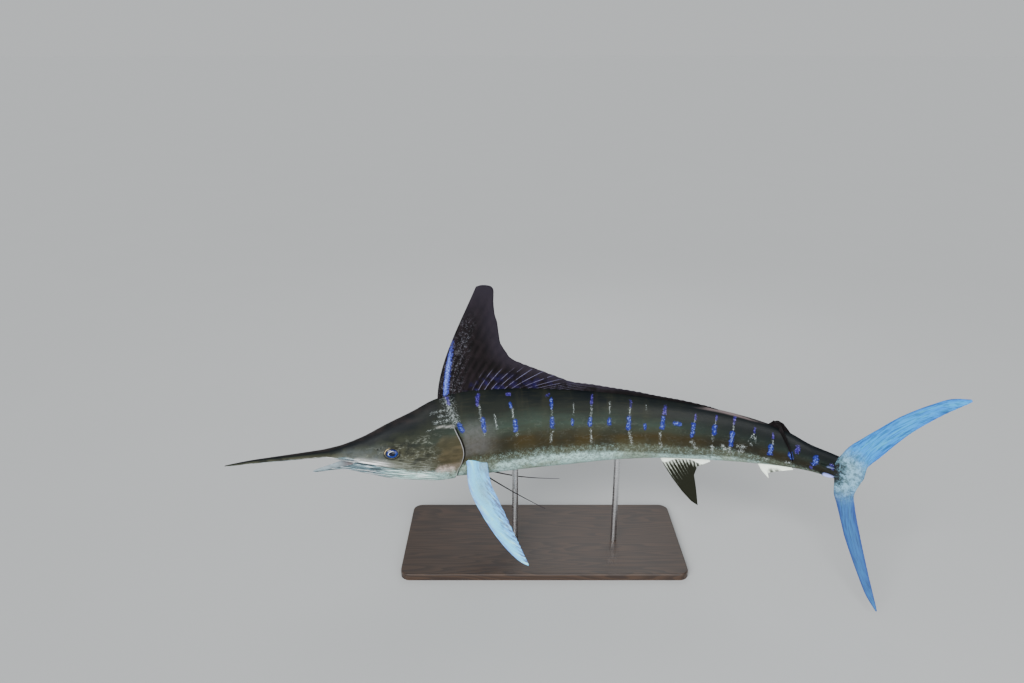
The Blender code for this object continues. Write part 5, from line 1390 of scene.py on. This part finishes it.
class MarlinColours(bpy.types.PropertyGroup):
    """Colours of the fish and its stand."""

    back: colour_value("Back", "Slate of the back", (0.004837, 0.006736, 0.008121))
    flank_dark: colour_value("Upper Flank", "Dark grey-olive of the upper flank", (0.01158, 0.01426, 0.01133))
    stalk_end: colour_value("Stalk's End", "Dark of the tail stalk's end", (0.009, 0.010, 0.009))
    flank_olive: colour_value("Middle Flank", "Olive of the middle flank", (0.02696, 0.04219, 0.03169))
    flank_brown: colour_value("Lower Flank", "Warm brown of the lower flank", (0.03252, 0.02385, 0.00833))
    flank_low: colour_value("Flank's Foot", "Brown just above the silver", (0.04038, 0.0367, 0.01795))
    flank_light: colour_value("Flank Streaks", "Lighter streaks along the flank", (0.0416, 0.04, 0.0224))
    head_dark: colour_value("Crown", "Dark of the head's top", (0.01925, 0.02246, 0.01469))
    crown: colour_value("Crown Edge", "Brownish violet along the head's top", (0.020, 0.0165, 0.0165))
    head_grey: colour_value("Head", "Grey-olive of the head", (0.05322, 0.05342, 0.03451))
    snout: colour_value("Snout", "Cool grey of the snout", (0.07489, 0.09117, 0.09504))
    cheek: colour_value("Cheek", "Grey-olive of the cheek", (0.0864, 0.09184, 0.0696))
    cheek_pale: colour_value("Cheek Streaks", "Pale streaks of the cheek", (0.216, 0.232, 0.2))
    gill_brown: colour_value("Gill Cover", "Brown of the gill cover", (0.0418, 0.0378, 0.02016))
    gill_warm: colour_value("Gill Cover Light", "Warm brown of the gill cover", (0.07896, 0.06442, 0.036))
    gill_pink: colour_value("Gill Cover Edge", "Pinkish lower edge of the gill cover", (0.598, 0.4995, 0.448))
    edge_pale: colour_value("Gill Rim", "Pale rim of the gill cover", (0.46, 0.45, 0.38))
    belly_silver: colour_value("Belly", "Silver of the belly", (0.4282, 0.6527, 0.626))
    belly_beige: colour_value("Belly Warm", "Beige patches of the belly", (0.276, 0.3721, 0.2964))
    belly_grey: colour_value("Belly Specks", "Grey specks of the belly", (0.06, 0.0704, 0.0544))
    belly_dust: colour_value("Belly Dust", "Dusty grey at the belly's upper edge", (0.078, 0.0864, 0.06))
    jaw_grey: colour_value("Jaw Streaks", "Grey streaks along the jaw", (0.04, 0.05, 0.056))
    jaw_silver: colour_value("Jaw", "Silver of the lower jaw", (0.2014, 0.3323, 0.387))
    throat: colour_value("Throat", "Silver-white of the throat", (0.6, 0.92, 0.86))
    # Painted shade of the gill opening, the mouth's crease, the nostrils and the rings round the eyes
    painted_shade: colour_value("Gill Slit", "Dark of the gill opening and the creases", (0.004, 0.003, 0.003))
    shoulder: colour_value("Shoulder", "Grey patch behind the gill cover", (0.104, 0.104, 0.104))
    lip: colour_value("Lip", "White of the upper lip", (1, 1, 1))
    mouth: colour_value("Mouth", "Lining of the mouth", (0.208, 0.184, 0.192))
    mouth_pale: colour_value("Mouth Front", "Pale lining of the jaws' front", (0.34, 0.42, 0.46))
    bar_blue: colour_value("Bar Blue", "Strong blue of the bars", (0.006912, 0.01056, 0.1658))
    bar_pale: colour_value("Bar Pale", "Pale blue of the bars", (0.1656, 0.2402, 0.5834))
    bar_violet: colour_value("Bar Violet", "Violet of the bars near the back", (0.0192, 0.01024, 0.1344))
    bar_lilac: colour_value("Bar Lilac", "Lilac flecks in the violet", (0.144, 0.1152, 0.4032))
    bar_white: colour_value("Bar White", "White of the bars' lower ends", (0.46, 0.52, 0.52))
    ridge_pink: colour_value("Ridge", "Pinkish line on the rear back", (0.192, 0.152, 0.152))
    root_cream: colour_value("Tail Root", "Cream at the tail's root", (0.2053, 0.3842, 0.493))
    root_green: colour_value("Tail Root Green", "Greenish patches at the tail's root", (0.077, 0.1323, 0.1353))
    fin_dark: colour_value("Fin Dark", "Dark of the dorsal fins", (0.00336, 0.002856, 0.003024))
    fin_brown: colour_value("Fin Brown", "Brown of the dorsal fins", (0.008486, 0.006272, 0.007128))
    fin_ray: colour_value("Fin Rays", "Rays of the dark fins", (0.02448, 0.01632, 0.0204))
    fin_top: colour_value("Fin Top", "Grey-violet towards the fins' free edges", (0.03154, 0.0258, 0.0391))
    fin_violet: colour_value("Fin Violet", "Violet at the rays' roots", (0.02429, 0.01622, 0.1872))
    fin_line: colour_value("Ray Lines", "Pale lines on the rays' roots", (0.1901, 0.1884, 0.3025))
    fin_speckle: colour_value("Fin Specks", "Grey specks behind the front edge", (0.1632, 0.1632, 0.1972))
    fin_blue: colour_value("Fin Blue", "Blue border of the streak behind the front edge", (0.04, 0.05, 0.33))
    fin_streak: colour_value("Fin Streak", "Blue-white streak behind the front edge", (0.22, 0.33, 0.86))
    fin_white: colour_value("Fin White", "White of the anal fins' base", (0.92, 1, 0.88))
    fin_olive: colour_value("Fin Olive", "Olive of the anal fin between its rays", (0.0125, 0.0135, 0.0085))
    pale_white: colour_value("Pale Fin", "White of the pale fins", (0.09, 0.7, 1))
    pale_cream: colour_value("Pale Fin Cream", "Cream mottling of the pale fins", (0.34, 0.76, 0.74))
    pale_blue: colour_value("Pale Fin Blue", "Sky blue of the pale fins", (0.02, 0.32, 0.86))
    pale_edge: colour_value("Pale Fin Edge", "Blue-violet edges of the pale fins", (0.05, 0.12, 0.6))
    pale_grey: colour_value("Pale Fin Grey", "Grey streaks of the pale fins", (0.02, 0.06, 0.2))
    # Painted light on the iris's lower rear
    painted_iris_light: colour_value("Iris Bright", "Bright blue at the iris's foot", (0.016, 0.075, 0.48))
    iris_blue: colour_value("Iris", "Blue of the iris", (0.004, 0.014, 0.17))
    iris_dark: colour_value("Iris Dark", "Dark blue of the iris", (0.002, 0.007, 0.07))
    # Painted reflection on the eye
    painted_eye_reflection: colour_value("Iris Ring", "Pale ring round the pupil", (0.75, 0.85, 1.0))
    pupil: colour_value("Pupil", "Navy of the pupil", (0.001, 0.002, 0.012))
    eye_gold: colour_value("Eye Gold", "Gold at the front of the eye", (0.80, 0.62, 0.32))
    tail_mid: colour_value("Lower Lobe Middle", "Greyer blue of the lower lobe's middle", (0.0368, 0.06888, 0.1763))
    tail_low: colour_value("Lower Tail Lobe", "Deeper blue of the tail's lower lobe", (0.022, 0.046, 0.215))
    tail_tint: colour_value("Tail Tint", "Tint that deepens the tail fin", (0.13, 0.45, 0.7))
    keel_pale: colour_value("Keel", "Pale lilac of the keels", (0.36, 0.42, 0.92))
    wood_dark: colour_value("Wood Dark", "Dark grain of the base", (0.0192, 0.0096, 0.0056))
    wood_light: colour_value("Wood Light", "Light grain of the base", (0.044, 0.0232, 0.0128))
    steel_dark: colour_value("Steel Dark", "Darker lines of the rods", (0.48, 0.48, 0.49))
    steel_light: colour_value("Steel Light", "Lighter lines of the rods", (0.66, 0.66, 0.67))


def length_value(label, words, value):
    """Length property."""
    return bpy.props.FloatProperty(name=label, description=words, subtype="DISTANCE", unit="LENGTH", default=value,
                                   min=0.0, precision=4)


class MarlinSizes(bpy.types.PropertyGroup):
    """Sizes of the forms raised on the skin and the fins."""

    lip: length_value("Lip Swell", "How far the lips stand out", 0.0022)
    gill_step: length_value("Gill Step", "Depth of the step behind the gill cover's free edge", 0.0090)
    lid: length_value("Eyelid Height", "How far the lids stand proud of the head", 0.0027)
    eye_bulge: length_value("Eye Depth", "Half depth of the eyeball", 0.0160)
    sheath: length_value("Fin Groove Edge", "Rise of the skin along the first dorsal fin's root", 0.0012)
    keel: length_value("Keel Height", "How far the keels reach out of the tail stalk", 0.0135)
    tail_ray: length_value("Tail Ray Relief", "Height of the rays on the tail fin", 0.00045)
    pectoral_ray: length_value("Pectoral Ray Relief", "Height of the rays on the pectoral fins", 0.0005)


class MarlinStudio(bpy.types.PropertyGroup):
    """Camera, floor and lights."""

    lens: bpy.props.FloatProperty(name="Lens", description="Focal length of the camera in millimetres",
                                  default=28.0, min=10.0, max=200.0)
    place: bpy.props.FloatVectorProperty(name="Camera", description="Place of the camera", subtype="TRANSLATION",
                                         unit="LENGTH", size=3, default=(-0.13, -2.909, 1.974))
    tilt: bpy.props.FloatProperty(name="Camera Tilt", description="Turn of the camera up from straight down",
                                  subtype="ANGLE", default=math.radians(70.0))
    floor: colour_value("Floor", "Pale grey of the floor", (0.5, 0.51, 0.51))
    sky: colour_value("Surround", "Light from above", (0.50, 0.52, 0.54))
    skyline: colour_value("Skyline", "Light from low round about, as bright as the far floor", (0.6, 0.619, 0.628))
    surround: bpy.props.FloatProperty(name="Surround Strength", description="Strength of the light all round",
                                      default=1.0, min=0.0)
    key: bpy.props.FloatProperty(name="Key Light", description="Strength of the main soft light", default=3.9,
                                 min=0.0)
    spread: bpy.props.FloatProperty(name="Key Spread", description="Width of the main soft light",
                                    subtype="ANGLE", default=math.radians(35.0), min=0.0)
    fill: bpy.props.FloatProperty(name="Fill Light", description="Power of the filling lights", subtype="POWER",
                                  unit="POWER", default=78.0, min=0.0)
    floor_size: bpy.props.FloatProperty(name="Floor Size", description="Radius of the floor", subtype="DISTANCE",
                                        unit="LENGTH", default=400.0, min=1.0)


# ---- operators

LIGHT_AIM = (0.0, -0.1, 0.55)
FLOOR_RINGS = (0.0, 2.0, 6.0, 30.0)


class MARLIN_OT_skin(bpy.types.Operator):
    """Body skin in one closed surface: bill, head, jaws, gill covers, trunk and tail stalk."""

    bl_idname = "marlin.skin"
    bl_label = "Body Skin"

    def execute(self, context):
        trunk, trunk_marks = trunk_grid()
        upper, upper_marks = upper_jaw_grid()
        lower, lower_marks = lower_jaw_grid()
        split = len(UPPER_SHARES)
        upper[-1, :split] = trunk[0, :split]
        lower[-1, LINING:] = trunk[0, split - 1:]
        lining = np.linspace(0.0, 1.0, LINING + 1)
        corner = trunk[0, split - 1]
        shared_row = stack(corner[0], corner[1] * (1 - lining),
                           corner[2] + PALATE_RISE * np.sin(lining * math.pi / 2))
        upper[-1, split:] = shared_row[1:]
        lower[-1, :LINING] = shared_row[:0:-1]
        make_piece("body_skin", [ring_grid(*capped(trunk, trunk_marks)), ring_grid(upper, upper_marks),
                                 ring_grid(lower, lower_marks)],
                   ("bill", "head", "lower_jaw", "gill_cover_left", "gill_cover_right", "trunk_front", "trunk_rear",
                    "tail_stalk"), finish("marlin_skin", skin_material))
        make_piece("eyelids", [lids(side) for side in (1, -1)], (), finish("marlin_skin", skin_material))
        make_piece("tail_keels", [keel(*row, side) for row in KEELS for side in (1, -1)], (),
                   finish("marlin_skin", skin_material))
        return {"FINISHED"}


class MARLIN_OT_eyes(bpy.types.Operator):
    """Eyes, set into the head."""

    bl_idname = "marlin.eyes"
    bl_label = "Eyes"

    def execute(self, context):
        for side, way in ((1, "left"), (-1, "right")):
            make_piece("eyeball_" + way, [eyeball(side)], ("eye_" + way,), finish("wet_eye", eye_material))
        return {"FINISHED"}


class MARLIN_OT_median_fins(bpy.types.Operator):
    """Fins of the back and the belly's middle line."""

    bl_idname = "marlin.median_fins"
    bl_label = "Back and Anal Fins"

    def execute(self, context):
        dark = finish("dark_fin_skin", dark_fin_material)
        make_piece("first_dorsal", [first_dorsal()], ("dorsal_fin_crest", "dorsal_fin_rear"), dark)
        # Second dorsal fin with its rear lobe, a strip down the flank that is partly painted shadow
        make_piece("second_dorsal", [small_fin(SECOND_DORSAL_SPAN, SECOND_DORSAL_EDGES, 1, 6, 0.004, 0.001),
                                     lobe_and_shadow_strip()], ("dorsal_fin_second",), dark)
        first = small_fin(FIRST_ANAL_SPAN, FIRST_ANAL_EDGES, 2, 13, 0.006, 0.0012, white_depth=0.031)
        make_piece("first_anal", [first], ("anal_fin_first",), dark)
        second = small_fin(SECOND_ANAL_SPAN, SECOND_ANAL_EDGES, 2, 6, 0.004, 0.001, white_depth=0.085)
        make_piece("second_anal", [second], ("anal_fin_second",), dark)
        return {"FINISHED"}


class MARLIN_OT_paired_fins(bpy.types.Operator):
    """Pectoral and pelvic fins of both sides."""

    bl_idname = "marlin.paired_fins"
    bl_label = "Paired Fins"

    def execute(self, context):
        for side, way in ((1, "left"), (-1, "right")):
            make_piece("pectoral_" + way, [pectoral(side)], ("pectoral_fin_" + way,),
                       finish("pale_fin_skin", pale_fin_material))
            make_piece("pelvic_" + way, [pelvic(side)], ("pelvic_fin_" + way,),
                       finish("dark_fin_skin", dark_fin_material))
        return {"FINISHED"}


class MARLIN_OT_tail(bpy.types.Operator):
    """Both lobes of the tail fin."""

    bl_idname = "marlin.tail"
    bl_label = "Tail Fin"

    def execute(self, context):
        make_piece("tail_fin", [tail_lobe(UPPER_LEAD, UPPER_TRAIL, 1), tail_lobe(LOWER_LEAD, LOWER_TRAIL, -1)],
                   ("caudal_lobe_upper", "caudal_lobe_lower"),
                   finish("pale_fin_skin", pale_fin_material))
        return {"FINISHED"}


class MARLIN_OT_stand(bpy.types.Operator):
    """Finishes of the stand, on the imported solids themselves."""

    bl_idname = "marlin.stand"
    bl_label = "Stand"

    def execute(self, context):
        wood = finish("stand_wood", wood_material)
        steel = finish("stand_steel", steel_material)
        for name, material in (("stand_base", wood), ("stand_rod_front", steel), ("stand_rod_rear", steel)):
            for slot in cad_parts[name].material_slots:
                slot.material = material
        return {"FINISHED"}


class MARLIN_OT_stage(bpy.types.Operator):
    """Pale floor, soft lights and the camera."""

    bl_idname = "marlin.stage"
    bl_label = "Studio"

    def execute(self, context):
        studio = context.scene.marlin_studio
        turn = circle(64)
        radius = np.array((*FLOOR_RINGS, studio.floor_size))[:, None]
        points = stack(radius * np.cos(turn), radius * np.sin(turn), 0.0)
        mesh = bpy.data.meshes.new("studio_floor")
        mesh.from_pydata(points.reshape(-1, 3), [], grid_quads(*points.shape[:2]))
        weld(mesh)
        if mesh.polygons[0].normal.z < 0:
            mesh.flip_normals()
        floor = bpy.data.objects.new("studio_floor", mesh)
        floor.data.materials.append(plain_material("studio_floor", tuple(studio.floor), 0.7))
        context.scene.collection.objects.link(floor)
        world = bpy.data.worlds.new("studio")
        world.use_nodes = True
        back = world.node_tree.nodes["Background"]
        graph = Graph(world.node_tree)
        rise = graph.split(graph.coordinate("Generated"))[2].step(0.17, 0.75)
        graph.put(back.inputs["Color"], graph.mix(rise, tuple(studio.skyline), tuple(studio.sky)))
        back.inputs["Strength"].default_value = studio.surround
        context.scene.world = world
        for name, kind, place, size, power in (
                ("key", "SUN", (-1.5, -3.0, 2.5), studio.spread, studio.key),
                ("fill", "AREA", (0.9, -3.3, 0.55), 2.6, studio.fill),
                ("rim", "AREA", (0.6, 2.8, 3.0), 2.4, 0.3 * studio.fill)):
            light = bpy.data.lights.new(name, kind)
            if kind == "SUN":
                light.angle = size
            else:
                light.shape = "DISK"
                light.size = size
            light.energy = power
            lamp = bpy.data.objects.new(name, light)
            lamp.location = place
            direction = np.array(LIGHT_AIM) - np.array(place)
            lamp.rotation_euler = (math.atan2(math.hypot(*direction[:2]), -direction[2]), 0.0,
                                   math.atan2(direction[1], direction[0]) - math.pi / 2)
            context.scene.collection.objects.link(lamp)
        lens = bpy.data.cameras.new("camera")
        lens.lens = studio.lens
        lens.sensor_width = 36.0
        camera = bpy.data.objects.new("camera", lens)
        camera.location = studio.place
        camera.rotation_euler = (studio.tilt, 0.0, 0.0)
        context.scene.collection.objects.link(camera)
        context.scene.camera = camera
        return {"FINISHED"}


OPERATORS = (MARLIN_OT_skin, MARLIN_OT_eyes, MARLIN_OT_median_fins, MARLIN_OT_paired_fins, MARLIN_OT_tail,
             MARLIN_OT_stand, MARLIN_OT_stage)


class MARLIN_PT_panel(bpy.types.Panel):
    """Lists the pieces and the settings."""

    bl_label = "Striped Marlin"
    bl_idname = "MARLIN_PT_panel"
    bl_space_type = "VIEW_3D"
    bl_region_type = "UI"
    bl_category = "Marlin"

    def draw(self, context):
        for operator in OPERATORS:
            self.layout.operator(operator.bl_idname)
        for group in (context.scene.marlin_sizes, context.scene.marlin_studio, context.scene.marlin_colours):
            for name in group.__annotations__:
                self.layout.prop(group, name)


CLASSES = (MarlinColours, MarlinSizes, MarlinStudio, *OPERATORS, MARLIN_PT_panel)


def register():
    """Register the classes and hang the settings on the scene."""
    for item in CLASSES:
        bpy.utils.register_class(item)
    bpy.types.Scene.marlin_colours = bpy.props.PointerProperty(type=MarlinColours)
    bpy.types.Scene.marlin_sizes = bpy.props.PointerProperty(type=MarlinSizes)
    bpy.types.Scene.marlin_studio = bpy.props.PointerProperty(type=MarlinStudio)


def unregister():
    """Take the settings and the classes away."""
    del bpy.types.Scene.marlin_studio
    del bpy.types.Scene.marlin_sizes
    del bpy.types.Scene.marlin_colours
    for item in reversed(CLASSES):
        bpy.utils.unregister_class(item)


def main():
    """Build every piece, then the studio."""
    register()
    bpy.ops.marlin.skin()
    bpy.ops.marlin.eyes()
    bpy.ops.marlin.median_fins()
    bpy.ops.marlin.paired_fins()
    bpy.ops.marlin.tail()
    bpy.ops.marlin.stand()
    bpy.ops.marlin.stage()


if __name__ == "__main__":
    main()
